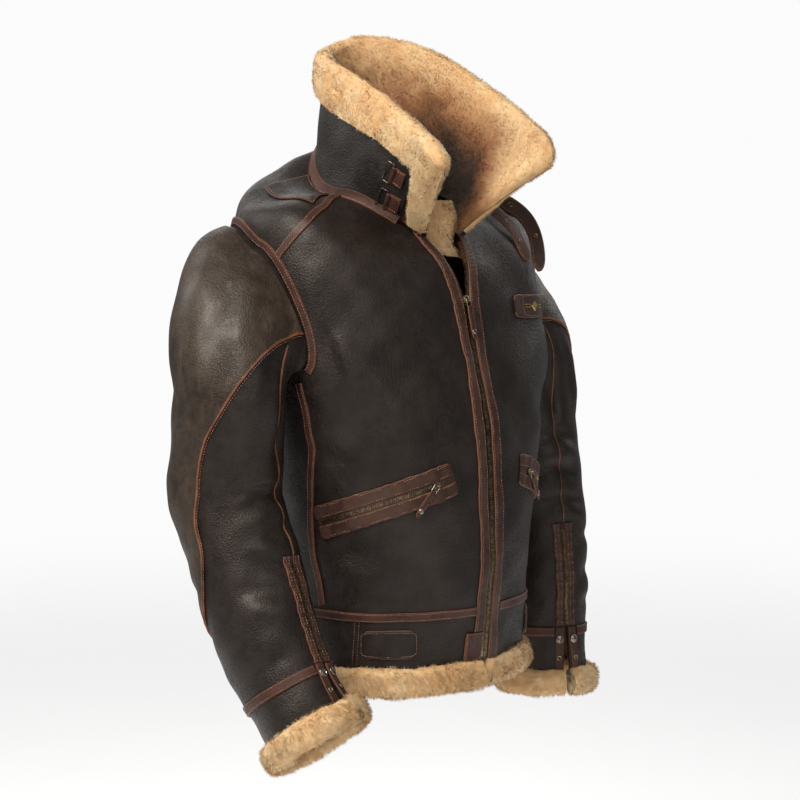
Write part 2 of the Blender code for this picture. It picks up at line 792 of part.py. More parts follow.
def line_between(first, last, count):
    return list(zip(*(steps(a, b, count) for a, b in zip(first, last))))


def along_table(table, count):
    return [tuple(table_at(table, part))[:2] for part in steps(0, len(table) - 1, count)]


TAPE_HALF = 0.0048
ARMHOLE_TAPE_AWAY = 0.0068  # from the armhole's edge to the tape's middle
ARMHOLE_TAPE_LOWEST = 18.0  # alpha where it ends under the arm


def beside_armhole(side, alpha, forward, away):
    """A place on the body this far outside the armhole's edge."""
    before, after = armhole_spot(alpha - 2, forward), armhole_spot(alpha + 2, forward)
    grown = armhole_spot(alpha, forward, 2.0)
    angle, row = armhole_spot(alpha, forward)
    along = torso(-side * after[0], after[1]) - torso(-side * before[0], before[1])
    outward = torso(-side * grown[0], grown[1]) - torso(-side * angle, row)
    aside = unit(np.cross(torso_normal(-side * angle, row), along))
    return moved(TORSO, -side * angle, row, aside * math.copysign(away, aside.dot(outward)))


def make_armhole_tape(name, side):
    path = [
        beside_armhole(side, alpha, True, ARMHOLE_TAPE_AWAY)
        for alpha in steps(ARMHOLE_TAPE_LOWEST, 180, 10)
    ]
    path += [
        beside_armhole(side, alpha, False, ARMHOLE_TAPE_AWAY)
        for alpha in steps(180, ARMHOLE_TAPE_LOWEST, 10)[1:]
    ]
    return ribbon("armhole_tape_" + name, TORSO, path, TAPE_HALF, TAPE_LEATHER)


SHOULDER_TAPE = ((76.4, 7.30), (70.4, 7.65), (67.0, 8.15), (70.8, 8.85), (79.6, 9.50), (85.2, 9.84))


def make_shoulder_tape(name, side):
    path = [(-side * angle, row) for angle, row in along_table(SHOULDER_TAPE, 10)]
    return ribbon("shoulder_tape_" + name, TORSO, path, TAPE_HALF, TAPE_LEATHER)


SHOULDER_PATCH = ((122.0, 8.62), (75.6, 8.76), (92.5, 9.80), (128.0, 9.80))


def make_shoulder_patch(name, side):
    low_back, low_front, high_front, high_back = SHOULDER_PATCH
    outer, inner = [], []
    for part in steps(0, 1, 4):
        line_out, line_in = [], []
        front = [a + (b - a) * part for a, b in zip(low_front, high_front)]
        back = [a + (b - a) * part for a, b in zip(low_back, high_back)]
        for angle, row in line_between(front, back, 7):
            point, out = torso(-side * angle, row), torso_normal(-side * angle, row)
            line_in.append(point + out * PATCH_LIFT)
            line_out.append(point + out * (PATCH_LIFT + STRAP_LEATHER))
        outer.append(line_out)
        inner.append(line_in)
    return solid_from_grids("shoulder_patch_" + name, outer, inner, DARK_LEATHER)


def side_seam_angle(row):
    return table_at([(a,) for a in SIDE_SEAM], row)[0]


def make_side_tape(name, side):
    path = [(-side * side_seam_angle(row), row) for row in steps(1.12, 4.82, 9)]
    return ribbon("side_tape_" + name, TORSO, path, 0.0045, TAPE_LEATHER)


WAIST_TAPE_ROW = 0.96


def make_waist_tape():
    start = angle_at_x(WAIST_TAPE_ROW, opening_half(0.0) + STRIP_WIDTH + 0.0022)
    path = [(angle, WAIST_TAPE_ROW) for angle in steps(start, 360 - start, 38)]
    return ribbon("waist_tape", TORSO, path, 0.0052, TAPE_LEATHER)


def make_sleeve_tapes(name, side):
    skin = sleeve_skin(side)
    slit = CUFF_SLIT_TURN[side]
    path = [(turn, 7.12) for turn in steps(slit + 18, slit + 342, 18)]
    ribbon("cuff_tape_" + name, skin, path, 0.0058, TAPE_LEATHER)


# The overlay on the outside of a sleeve: its front edge's turn, row by row.
OVERLAY_COLUMNS = ("row", "turn")
OVERLAY_EDGE = (
    (0.05, 117.0),
    (0.32, 105.0),
    (0.55, 86.0),
    (0.70, 68.0),
    (0.84, 50.0),
    (1.00, 33.0),
    (1.48, 21.0),
    (2.30, 16.0),
    (2.80, 14.0),
    (3.40, 5.0),
    (4.10, -1.0),
    (4.70, -12.0),
    (5.20, -28.0),
    (5.50, -62.0),
)
OVERLAY_BACK_TURN = -104.0
OVERLAY_THICKNESS = 0.0012
OVERLAY_LIFT = 0.0019


OVERLAY_EXTRA_ROWS = (0.05, 0.3, 0.5, 0.7, 0.9, 1.25, 5.25)
OVERLAY_END_ROW = 5.5
COLUMN_TURN = 18.0  # between the columns of a sleeve's solids


def overlay_edge(row):
    rows = [station for station, _ in OVERLAY_EDGE]
    after = next(k for k, station in enumerate(rows) if station >= row and k > 0)
    part = (row - rows[after - 1]) / (rows[after] - rows[after - 1])
    return table_at(OVERLAY_EDGE, after - 1 + part)[1]


def make_overlay(name, side):
    """Laid on the sleeve's own rows and columns, and cut along its front edge."""
    skin = sleeve_skin(side)
    rows = [row for row in sleeve_row_list() if 0 < row <= OVERLAY_END_ROW]
    rows = sorted(rows + list(OVERLAY_EXTRA_ROWS))
    chains = []
    for row in rows:
        edge = overlay_edge(row)
        turns = [OVERLAY_BACK_TURN]
        turn = -90.0
        while turn < edge - 4:
            turns.append(turn)
            turn += COLUMN_TURN
        chains.append([(t, skin.surface(t, row), skin.normal(t, row)) for t in turns + [edge]])
    points, faces, starts = [], [], []
    for chain in chains:
        starts.append(len(points))
        points += chain
    for i in range(len(chains) - 1):
        a, b = 0, 0
        here, below = chains[i], chains[i + 1]
        while a < len(here) - 1 or b < len(below) - 1:
            step_here = here[a + 1][0] if a < len(here) - 1 else math.inf
            step_below = below[b + 1][0] if b < len(below) - 1 else math.inf
            corner, other = starts[i] + a, starts[i + 1] + b
            if step_here <= step_below:
                faces.append((corner, corner + 1, other))
                a += 1
            else:
                faces.append((corner, other + 1, other))
                b += 1
    outer = [point + out * (OVERLAY_LIFT + OVERLAY_THICKNESS) for _, point, out in points]
    inner = [point + out * OVERLAY_LIFT for _, point, out in points]
    return solid_from_faces("sleeve_overlay_" + name, outer, inner, faces, OVERLAY_LEATHER)


# A zip with its strips: metres aside and thickness of each corner of the section.
GROOVE_FLOOR = 0.0006
ZIP_HALF, ZIP_THICKNESS = 0.0030, 0.0013
ZIP_LIFT = LIFT + GROOVE_FLOOR + SEAM


def grooved(half_width, groove, floor=GROOVE_FLOOR):
    full = STRAP_LEATHER
    return (
        (-half_width, full),
        (-groove - 0.0004, full),
        (-groove, floor),
        (groove, floor),
        (groove + 0.0004, full),
        (half_width, full),
    )


PLACKET_TOP, PLACKET_END = 4.45, 7.95
PLACKET_HALF, PLACKET_GROOVE = 0.0140, 0.0038


def make_cuff_placket(name, side):
    skin = sleeve_skin(side)
    slit = CUFF_SLIT_TURN[side]
    rows = steps(PLACKET_TOP, 6.97, 7) + steps(7.03, PLACKET_END, 2)
    path = [(slit, row) for row in rows]

    def sideways(k, last):
        spread = 0.0034 * max(rows[k] - CUFF_ROW, 0.0)
        return [(math.copysign(abs(a) + spread, a), t) for a, t in grooved(PLACKET_HALF, PLACKET_GROOVE)]

    outer, inner = ribbon_grids(skin, path, sideways, LIFT)
    solid_from_grids(
        "cuff_placket_" + name, outer, inner, TAPE_LEATHER, keep=lambda i, j: i < 7 or j in (0, 4)
    )
    path = [(slit, row) for row in steps(PLACKET_TOP + 0.12, 6.93, 7)]
    ribbon("cuff_zip_" + name, skin, path, ZIP_HALF, BRASS, ZIP_THICKNESS, ZIP_LIFT)


STRIP_AWAY = 0.0009  # from the front's edge


def front_piece(name, rows, edges, thickness, lift, finish):
    """A piece on the body's front between two distances from the centre line, given for each row."""
    outer, inner = [], []
    for row in rows:
        line_out, line_in = [], []
        for x in edges(row):
            angle = -math.copysign(angle_at_x(row, abs(x)), x)
            point, out = torso(angle, row), torso_normal(angle, row)
            line_in.append(point + out * lift)
            line_out.append(point + out * (lift + thickness))
        outer.append(line_out)
        inner.append(line_in)
    return solid_from_grids(name, outer, inner, finish)


END_PATCH_TOP, END_PATCH_WIDTH = 0.56, 0.027


def make_front_zip():
    for name, side in SIDES:
        low = END_PATCH_TOP + 0.02 if side == RIGHT else 0.03

        def strip_edges(row):
            near = opening_half(row) + STRIP_AWAY
            return [side * near, side * (near + STRIP_WIDTH / 2), side * (near + STRIP_WIDTH)]

        rows = steps(low, OPEN_ROW, 12) + steps(OPEN_ROW, 9.86, 6)[1:]
        front_piece("zip_strip_" + name, rows, strip_edges, STRAP_LEATHER, LIFT, TAPE_LEATHER)
    teeth = TEETH_HALF - SEAM
    front_piece(
        "front_zip_teeth", steps(0.03, OPEN_ROW - 0.02, 14), lambda row: (-teeth, 0.0, teeth),
        0.0034, -0.0024, BRASS,
    )
    near = opening_half(0.0) + STRIP_AWAY
    patch = [RIGHT * (near + END_PATCH_WIDTH * part) for part in (0.0, 0.5, 1.0)]
    front_piece(
        "zip_end_patch", steps(0.03, END_PATCH_TOP, 3), lambda row: patch,
        STRAP_LEATHER, LIFT, TAPE_LEATHER,
    )


# The flap's foot, sewn behind the left front: x and row. Above the neck: its back's y, z and half width.
FLAP_FOOT = ((-0.0225, 9.72), (-0.0105, 9.52), (0.0030, 9.42), (0.0165, 9.25), (0.0310, 9.00))
FLAP_RISE = (
    (-0.0885, -0.0505, 0.0235),
    (-0.0925, -0.0370, 0.0240),
    (-0.0930, -0.0205, 0.0235),
    (-0.0910, -0.0060, 0.0185),
)
FLAP_TOP_ROW = 9.82
FLAP_DEPTH = 0.0070
FLAP_BULGE = (0.55, 0.90, 1.00, 0.90, 0.55)
FLAP_ENDS = (0.55, 0.90, 1.00, 1.00, 1.00, 1.00, 0.60)


def make_fur_flap():
    outer, inner = [], []
    for part in (0.0, 0.5, 1.0):
        backs, outs = [], []
        for x, foot in FLAP_FOOT:
            x = x if part < 1 else min(x, 0.0245)
            row = foot + (FLAP_TOP_ROW - foot) * part
            angle = -math.copysign(angle_at_x(row, abs(x)), x)
            outs.append(torso_normal(angle, row))
            backs.append(torso(angle, row) - outs[-1] * (WALL + 0.0008 + FLAP_DEPTH))
        inner.append(backs)
        outer.append(outs)
    for y, z, half in FLAP_RISE:
        aside = steps(-half, half, 4)
        inner.append([np.array((x, y + 5.5 * x * x, z)) for x in aside])
        outer.append([unit(np.array((10.0 * x, -1.0, 0.15))) for x in aside])
    for backs, outs, end in zip(inner, outer, FLAP_ENDS):
        outs[:] = [back + out * FLAP_DEPTH * end * bulge for back, out, bulge in zip(backs, outs, FLAP_BULGE)]
    return solid_from_grids("fur_flap", outer, inner, FUR)


# The pockets, as places on the wearer's right: (angle, row) at the back end and at the front end.
POCKET_BACK, POCKET_FRONT = (84.6, 2.56), (17.0, 3.38)
POCKET_HALF, POCKET_GROOVE = 0.0200, 0.0046
POCKET_SLIDER = 0.872  # part of the way from the back end


def pocket_place(side, part):
    angle, row = [a + (b - a) * part for a, b in zip(POCKET_BACK, POCKET_FRONT)]
    return -side * angle, row


def make_pocket(name, side):
    path = [pocket_place(side, part) for part in steps(0, 1, 11)]
    narrow = (0.80, 0.97)

    def sideways(k, last):
        scale = narrow[last - k] if last - k < len(narrow) else 1.0
        return [(a * scale if abs(a) == POCKET_HALF else a, t) for a, t in grooved(POCKET_HALF, POCKET_GROOVE)]

    outer, inner = ribbon_grids(TORSO, path, sideways, LIFT)
    solid_from_grids("pocket_welt_" + name, outer, inner, TAPE_LEATHER)
    path = [pocket_place(side, part) for part in steps(0.03, POCKET_SLIDER - 0.036, 10)]
    ribbon("pocket_zip_" + name, TORSO, path, ZIP_HALF, BRASS, ZIP_THICKNESS, ZIP_LIFT)


def make_patches():
    path = line_between((-19.5, 6.62), (-51.0, 6.12), 7)
    ribbon("chest_patch", TORSO, path, 0.0150, TAPE_LEATHER)
    for name, side in SIDES:
        path = [(-side * angle, 0.47) for angle in steps(61.0, 37.0, 8)]
        ribbon("waist_tab_" + name, TORSO, path, 0.0175, DARK_LEATHER, ends=(0.80, 0.97))


# The straps that hang on the wearer's left, as places and lifts along the middle line.
STRAP_COLUMNS = ("angle", "row", "lift")
STRAPS = {
    "collar_strap_front": (
        (-60.0, 9.15, 0.009),
        (-50.0, 8.62, 0.006),
        (-40.5, 8.10, 0.004),
        (-36.5, 7.52, 0.003),
    ),
    "collar_strap_back": (
        (-78.0, 9.05, 0.0120),
        (-66.0, 8.45, 0.0112),
        (-53.0, 7.70, 0.0098),
        (-40.0, 7.08, 0.0092),
    ),
}
STRAP_HALF = 0.0105
# How far each turns away from the body's own way.
STRAP_FACING = {"collar_strap_front": (0.0, -1.4, 0.0), "collar_strap_back": (-1.6, -2.2, 0.0)}


def make_straps():
    for name, table in STRAPS.items():
        count = 10
        lifts = [table_at(table, part)[2] for part in steps(0, len(table) - 1, count)]
        path = along_table(table, count)
        outer, inner = [], []
        for k, (u, v) in enumerate(path):
            before, after = path[max(k - 1, 0)], path[min(k + 1, count)]
            normal = torso_normal(u, v)
            facing = unit(normal + np.array(STRAP_FACING[name]))
            aside = unit(np.cross(facing, torso(*after) - torso(*before)))
            width = STRAP_HALF * (0.45 if k == count else 1.0)
            base = torso(u, v) + normal * lifts[k]
            outer.append([base + aside * w + normal * 0.0022 for w in steps(-width, width, 2)])
            inner.append([base + aside * w for w in steps(-width, width, 2)])
        solid_from_grids(name, outer, inner, TAPE_LEATHER)


# ---------------------------------------------------------------- fittings

Place = collections.namedtuple("Place", "origin side along out")


def placed(place):
    """A function from (aside, along, out) in millimetres to the jacket's frame."""
    return lambda a, b, c: place.origin + (place.side * a + place.along * b + place.out * c) / 1000


def surface_place(origin, out, along):
    along = unit(along - out * along.dot(out))
    return Place(origin, np.cross(along, out), along, out)


BRIDGE = {"half": 1.0, "leg": 1.0, "hole_half": 1.9, "hole_low": 0.4, "hole_height": 1.9}


def make_slider(name, place, half_width, half_length, low, high):
    """A zip's slider: a base, and over it a bridge whose eye holds the pull's bar."""
    eye = high + BRIDGE["hole_low"]
    top = eye + BRIDGE["hole_height"]
    hole, leg = BRIDGE["hole_half"], BRIDGE["hole_half"] + BRIDGE["leg"]
    breaks = (
        (-half_width, -BRIDGE["half"], BRIDGE["half"], half_width),
        (-half_length, -leg, -hole, hole, leg, half_length),
        (low, high, eye, top, top + BRIDGE["leg"]),
    )

    def keep(i, j, k):
        if k == 0:
            return True
        if i != 1:
            return False
        if k == 3:
            return 1 <= j <= 3
        return j in (1, 3) or (k == 1 and j == 2)

    solid_from_cells(name, breaks, keep, placed(place), BRASS)
    return eye + BRIDGE["hole_height"] / 2


PULL_HALF, PULL_INNER = 4.5, 3.0
PULL_BAR = 0.6
PULL_FRAME = 9.0
PULL_JOIN = 10.6


def make_pull(name, place, length):
    """A pull: a wire frame whose bar lies in the slider's eye, with a leather tab."""
    breaks = (
        (-PULL_HALF, -PULL_INNER, PULL_INNER, PULL_HALF),
        (-PULL_BAR, PULL_BAR, PULL_FRAME, PULL_JOIN, length - 3.0, length),
        (-PULL_BAR, PULL_BAR),
    )
    put = placed(place)

    def taper(a, b, c):
        return put(a * (0.6 if b == length else 1.0), b, c)

    solid_from_cells(name, breaks, lambda i, j, k: j != 1 or i != 1, taper, BRASS)


def make_front_slider():
    row = OPEN_ROW + 0.13
    origin, out = torso(0.0, row), torso_normal(0.0, row)
    place = surface_place(origin, out, torso(0.0, row - 0.3) - origin)
    height = make_slider("front_zip_slider", place, 4.4, 4.6, -2.2, 3.4)
    pull = place._replace(origin=origin + out * height / 1000)
    make_pull("front_zip_pull", pull, 50.0)
    return pull


POCKET_PULL_TOWARD = (40.6, 2.62)


def make_pocket_slider(name, side):
    spot = pocket_place(side, POCKET_SLIDER)
    origin, out = torso(*spot), torso_normal(*spot)
    along = torso(*pocket_place(side, POCKET_SLIDER - 0.1)) - origin
    place = surface_place(origin, out, along)
    height = make_slider("pocket_slider_" + name, place, 3.8, 4.6, ZIP_LIFT * 1000, 4.0)
    toward = torso(-side * POCKET_PULL_TOWARD[0], POCKET_PULL_TOWARD[1]) - origin
    pull = surface_place(origin + out * height / 1000, out, toward)
    make_pull("pocket_pull_" + name, pull, 46.0)
    return pull


# The collar's buckles on the wearer's right: places (u, h) of the frames' bars.
BUCKLES = {"upper": (-0.790, 0.43), "lower": (-0.800, 0.14)}
BUCKLE_LIFT = 1.8  # millimetres
TAB_LEATHER, TAB_HALF, TAB_LENGTH = 1.4, 10.5, 17.0
LOOP_INNER = 1.0


def make_buckle(name, spot):
    point, up, out = collar_frame(*spot)
    origin = point + out * COLLAR_LEATHER / 2
    forward = np.cross(out, up)
    place = Place(origin, unit(up - out * up.dot(out)), forward, out)
    put = placed(place)
    loop_outer = LOOP_INNER + TAB_LEATHER
    axis = BUCKLE_LIFT + loop_outer
    turns = steps(-90, 200, 9)
    outside = [(-TAB_LENGTH, BUCKLE_LIFT)]
    inside = [(-TAB_LENGTH, BUCKLE_LIFT + TAB_LEATHER)]
    for turn in turns:
        cosine, sine = math.cos(math.radians(turn)), math.sin(math.radians(turn))
        outside.append((loop_outer * cosine, axis + loop_outer * sine))
        inside.append((LOOP_INNER * cosine, axis + LOOP_INNER * sine))
    rows = (-TAB_HALF, TAB_HALF)
    outer = [[put(aside, b, c) for b, c in outside] for aside in rows]
    inner = [[put(aside, b, c) for b, c in inside] for aside in rows]
    solid_from_grids("buckle_tab_" + name, outer, inner, TAPE_LEATHER)
    breaks = ((-14.3, -12.3, 12.3, 14.3), (-0.6, 0.6, 10.5, 12.3), (axis - 0.6, axis + 0.6))
    solid_from_cells("buckle_frame_" + name, breaks, lambda i, j, k: i != 1 or j != 1, put, BRASS)
    return place._replace(origin=origin + out * axis / 1000)


def build():
    axes = {}
    for name, side in SIDES:
        make_front("front_" + name, side)
        make_sleeve(name, side)
        make_overlay(name, side)
        make_cuff(name, side)
        make_cuff_fur(name, side)
        make_cuff_placket(name, side)
        make_sleeve_tapes(name, side)
        make_hem_fur(name, side)
        make_collar_fur("collar_fur_" + name, side)
        make_armhole_tape(name, side)
        make_shoulder_tape(name, side)
        make_shoulder_patch(name, side)
        make_side_tape(name, side)
        make_pocket(name, side)
        axes["pocket_pull_" + name] = make_pocket_slider(name, side)
    make_back()
    make_waistband()
    make_collar_leather()
    make_waist_tape()
    make_front_zip()
    axes["front_zip_pull"] = make_front_slider()
    make_fur_flap()
    make_patches()
    make_straps()
    for name, spot in BUCKLES.items():
        axes["buckle_frame_" + name] = make_buckle(name, spot)
    return axes


HINGES = build()
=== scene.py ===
"""The looks of a shearling flying jacket, filled out as when worn, with nobody in it.

Metres, in the frame of the solids: +Z up, the front faces -Y, the wearer's right is -X.
"""

import collections
import functools
import math

import bmesh
import bpy
import numpy as np
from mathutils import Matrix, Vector


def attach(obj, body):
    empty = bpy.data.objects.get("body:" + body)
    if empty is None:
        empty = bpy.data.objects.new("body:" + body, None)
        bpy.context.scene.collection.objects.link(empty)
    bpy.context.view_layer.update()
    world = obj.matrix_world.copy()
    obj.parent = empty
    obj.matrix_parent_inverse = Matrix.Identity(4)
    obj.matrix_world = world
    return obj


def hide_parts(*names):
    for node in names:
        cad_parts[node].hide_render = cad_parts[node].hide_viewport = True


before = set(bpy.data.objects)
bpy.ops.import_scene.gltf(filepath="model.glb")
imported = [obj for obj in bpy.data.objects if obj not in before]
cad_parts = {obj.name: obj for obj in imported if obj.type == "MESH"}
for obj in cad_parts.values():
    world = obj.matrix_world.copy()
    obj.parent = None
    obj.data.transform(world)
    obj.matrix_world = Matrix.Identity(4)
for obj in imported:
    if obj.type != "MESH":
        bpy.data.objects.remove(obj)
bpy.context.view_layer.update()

RIGHT, LEFT = -1, 1
SIDES = (("right", RIGHT), ("left", LEFT))
FINE = 2  # how finely the fur and the panels are made

# ---------------- camera, light, floor

CAMERA_PLACE = Vector((-1.8703, -1.8061, -0.0160))
CAMERA_AIM = Vector((0.0097, -0.0101, -0.2573))
CAMERA_LENS = 92.73
FLOOR_HEIGHT = -1.30
FLOOR_REACH = 6.0


def show(thing):
    bpy.context.scene.collection.objects.link(thing)
    return thing


def place_camera():
    data = bpy.data.cameras.new("camera")
    data.sensor_width = 36.0
    data.lens = CAMERA_LENS
    data.clip_end = 60.0
    camera = show(bpy.data.objects.new("camera", data))
    camera.location = CAMERA_PLACE
    camera.rotation_euler = (CAMERA_AIM - CAMERA_PLACE).to_track_quat("-Z", "Y").to_euler()
    bpy.context.scene.camera = camera


# Softboxes: where they stand from the jacket (turn and height in degrees), metres away, size and watts.
LAMPS = (
    ("key", -78.0, 42.0, 2.4, 1.1, 1.3, 62.0, (1.0, 0.97, 0.93)),
    ("front_fill", -20.0, 25.0, 2.8, 1.6, 1.6, 16.0, (1.0, 0.98, 0.96)),
    ("right_rim", 95.0, 30.0, 2.4, 0.9, 1.6, 12.0, (1.0, 0.99, 0.98)),
    ("back_rim", -150.0, 35.0, 2.6, 1.0, 1.6, 18.0, (1.0, 0.99, 0.98)),
    ("back_fill", 150.0, 30.0, 2.8, 1.4, 1.4, 10.0, (1.0, 0.98, 0.96)),
)
LAMP_TARGET = Vector((0.0, 0.0, -0.25))


def place_lamps():
    for name, turn, height, metres, wide, tall, watts, colour in LAMPS:
        data = bpy.data.lights.new(name, "AREA")
        data.shape = "RECTANGLE"
        data.size = wide
        data.size_y = tall
        data.energy = watts
        data.color = colour
        turn, height = math.radians(turn), math.radians(height)
        level = math.cos(height)
        away = Vector((math.sin(turn) * level, -math.cos(turn) * level, math.sin(height)))
        made = show(bpy.data.objects.new(name, data))
        made.location = LAMP_TARGET + away * metres
        made.rotation_euler = away.to_track_quat("Z", "Y").to_euler()


# The white room: bright where it is seen, dimmer as a light, so that dark leather stays dark.
ROOM_LIGHT, ROOM_LIGHT_COLOUR = 0.20, (0.96, 0.98, 1.0, 1.0)
ROOM_SEEN, ROOM_SEEN_COLOUR = 0.97, (1.0, 1.0, 1.0, 1.0)


def make_room():
    world = bpy.data.worlds.new("room")
    bpy.context.scene.world = world
    world.use_nodes = True
    nodes, links = world.node_tree.nodes, world.node_tree.links
    nodes.clear()
    out = nodes.new("ShaderNodeOutputWorld")
    path = nodes.new("ShaderNodeLightPath")
    light = nodes.new("ShaderNodeBackground")
    seen = nodes.new("ShaderNodeBackground")
    mix = nodes.new("ShaderNodeMixShader")
    light.inputs["Color"].default_value = ROOM_LIGHT_COLOUR
    light.inputs["Strength"].default_value = ROOM_LIGHT
    seen.inputs["Color"].default_value = ROOM_SEEN_COLOUR
    seen.inputs["Strength"].default_value = ROOM_SEEN
    links.new(path.outputs["Is Camera Ray"], mix.inputs[0])
    links.new(light.outputs[0], mix.inputs[1])
    links.new(seen.outputs[0], mix.inputs[2])
    links.new(mix.outputs[0], out.inputs["Surface"])


# ---------------- finishes


class Value:
    """A number that varies over a surface. Sums on it become Math nodes."""

    def __init__(self, finish, socket):
        self.finish = finish
        self.socket = socket

    def math(self, operation, *others, clamp=False):
        settings = {"operation": operation, "use_clamp": clamp}
        return self.finish.node("ShaderNodeMath", settings, dict(enumerate((self, *others))))

    def __add__(self, other):
        return self.math("ADD", other)

    def __sub__(self, other):
        return self.math("SUBTRACT", other)

    def __mul__(self, other):
        return self.math("MULTIPLY", other)

    def __rsub__(self, other):
        return (self * -1.0) + other

    __radd__ = __add__
    __rmul__ = __mul__

    def clamped(self):
        return self.math("ADD", 0.0, clamp=True)

    def between(self, low, high):
        """0 below low, 1 above high."""
        settings = {"interpolation_type": "SMOOTHSTEP"}
        inputs = {"Value": self, "From Min": low, "From Max": high}
        return self.finish.node("ShaderNodeMapRange", settings, inputs)


class Finish:
    """A material with one Principled shader."""

    def __init__(self, name, **constants):
        self.material = bpy.data.materials.new(name)
        self.material.use_nodes = True
        self.tree = self.material.node_tree
        self.shader = self.tree.nodes["Principled BSDF"]
        for socket, value in constants.items():
            self.shader.inputs[socket.replace("_", " ")].default_value = value

    def node(self, kind, settings=None, inputs=None, output=0):
        made = self.tree.nodes.new(kind)
        for name, value in (settings or {}).items():
            setattr(made, name, value)
        for name, value in (inputs or {}).items():
            self.feed(made.inputs[name], value)
        return Value(self, made.outputs[output])

    def feed(self, socket, value):
        if isinstance(value, Value):
            self.tree.links.new(value.socket, socket)
        elif isinstance(value, tuple) and len(value) == 3 and socket.type == "RGBA":
            socket.default_value = (*value, 1.0)
        else:
            socket.default_value = value

    def place(self):
        return self.node("ShaderNodeTexCoord", output="Object")

    def stretched(self, scale):
        return self.node("ShaderNodeMapping", {}, {"Vector": self.place(), "Scale": scale})

    def noise(self, scale, detail=3.0, roughness=0.55, distortion=0.0, vector=None):
        inputs = {
            "Vector": vector or self.place(),
            "Scale": scale,
            "Detail": detail,
            "Roughness": roughness,
            "Distortion": distortion,
        }
        return self.node("ShaderNodeTexNoise", {}, inputs, "Fac")

    def pebbles(self, scale, smooth=0.6):
        settings = {"feature": "SMOOTH_F1"}
        inputs = {"Vector": self.place(), "Scale": scale, "Smoothness": smooth}
        return self.node("ShaderNodeTexVoronoi", settings, inputs, "Distance")

    def attribute(self, name):
        return self.node("ShaderNodeAttribute", {"attribute_name": name}, {}, "Fac")

    def mix(self, amount, one, two, blend="MIX"):
        settings = {"data_type": "RGBA", "blend_type": blend}
        made = self.node("ShaderNodeMix", settings, {})
        node = made.socket.node
        self.feed(node.inputs[0], amount)
        self.feed(node.inputs[6], one)
        self.feed(node.inputs[7], two)
        return Value(self, node.outputs[2])

    def set(self, **sockets):
        for name, value in sockets.items():
            self.feed(self.shader.inputs[name.replace("_", " ")], value)

    def bump(self, height, distance, strength=1.0):
        inputs = {"Height": height, "Distance": distance, "Strength": strength}
        self.set(Normal=self.node("ShaderNodeBump", {}, inputs))


def leather(name, dark, light, rough, grain=0.0006, edge=None, gloss=0.06, painted_highlight_streaks=0.0):
    """Pebbled faux leather: mottled, a little shinier on the grain's tops, worn lighter at cut edges, and
    with painted highlight streaks where asked.
    """
    made = Finish(
        name, IOR=1.45, Coat_Roughness=0.28, Specular_IOR_Level=0.45, Specular_Tint=(1.0, 0.90, 0.80, 1.0)
    )
    cloudy = made.noise(17.0, 4.0)
    worn = made.noise(85.0, 3.0)
    grains = made.pebbles(470.0)
    fine = made.noise(1500.0, 2.0)
    colour = made.mix((cloudy * 0.65 + worn * 0.45).between(0.38, 0.72), dark, light)
    # Painted highlights: pale streaks, at about twice the light tone, mixed into the colour.
    if painted_highlight_streaks:
        lines = made.noise(30.0, 5.0, 0.6, 0.4, made.stretched((2.2, 2.2, 0.5)))
        colour = made.mix(lines.between(0.52, 0.74) * painted_highlight_streaks, colour, tuple(c * 2.1 for c in light))
    if edge:
        rim = made.attribute("rim")
        rubbed = (rim * (made.noise(240.0, 3.0) * 0.9 + 0.35)).between(0.30, 0.78)
        colour = made.mix(rubbed, colour, edge)
    made.set(
        Base_Color=colour,
        Roughness=(worn * 0.34 + grains * 0.45 + (rough - 0.30)).clamped(),
        Coat_Weight=(cloudy.between(0.40, 0.70) * gloss * 2.0 + grains * 0.05).clamped(),
    )
    wrinkles = made.noise(120.0, 4.0, 0.6, 0.8)
    height = (1.0 - grains) * 0.8 + fine * 0.15 + wrinkles * 0.9
    made.bump(height, grain)
    return made.material


def pile_finish(name, root, tip, shade, deep):
    """Fur: dark between the strands, pale at their ends, with clumps of deeper and paler tan, and with
    painted shade, partly a darker dye, where a mesh attribute gives it.
    """
    made = Finish(name, IOR=1.4, Sheen_Weight=0.35, Sheen_Roughness=0.45, Sheen_Tint=(1.0, 0.86, 0.62, 1.0))
    clumps = made.noise(52.0, 4.0, 0.6, 0.5)
    patches = made.noise(13.0, 3.0)
    along = made.attribute("along")
    colour = made.mix(along.between(-0.25, 0.80), root, tip)
    colour = made.mix(clumps.between(0.56, 0.30) * 0.55, colour, shade)
    colour = made.mix(patches.between(0.60, 0.38) * 0.55, colour, shade)
    # Painted shade, partly a darker dye: a mid brown and then the deepest colour, where the collar's inside
    # lies in shade.
    dye_and_shade_amount = made.attribute("deep")
    dye_and_shade_drifts = (made.noise(24.0, 4.0, 0.6, 0.6) - 0.5) * dye_and_shade_amount.between(0.02, 0.3)
    dye_and_shade_amount = (dye_and_shade_amount + dye_and_shade_drifts * 0.5).clamped()
    colour = made.mix(dye_and_shade_amount.between(0.02, 0.60), colour, (0.26, 0.105, 0.038))
    colour = made.mix(dye_and_shade_amount.between(0.40, 0.88), colour, deep)
    made.set(Base_Color=colour, Roughness=(clumps * 0.2 + 0.72).clamped())
    made.bump(made.noise(620.0, 3.0), 0.0004)
    return made.material


def metal(name, dark, bright, rough):
    """Antiqued metal: dark in its hollows, rubbed bright here and there."""
    made = Finish(name, Metallic=1.0)
    tarnish = made.noise(260.0, 4.0, 0.65)
    scratches = made.noise(900.0, 2.0)
    made.set(
        Base_Color=made.mix(tarnish.between(0.36, 0.66), dark, bright),
        Roughness=(tarnish * -0.25 + (rough + 0.14)).clamped(),
    )
    made.bump(scratches, 0.00006)
    return made.material


def thread(name, dark, light):
    made = Finish(name, Roughness=0.7)
    twist = made.noise(1400.0, 2.0)
    made.set(Base_Color=made.mix(made.noise(210.0).between(0.35, 0.65), dark, light))
    made.bump(twist, 0.0001)
    return made.material


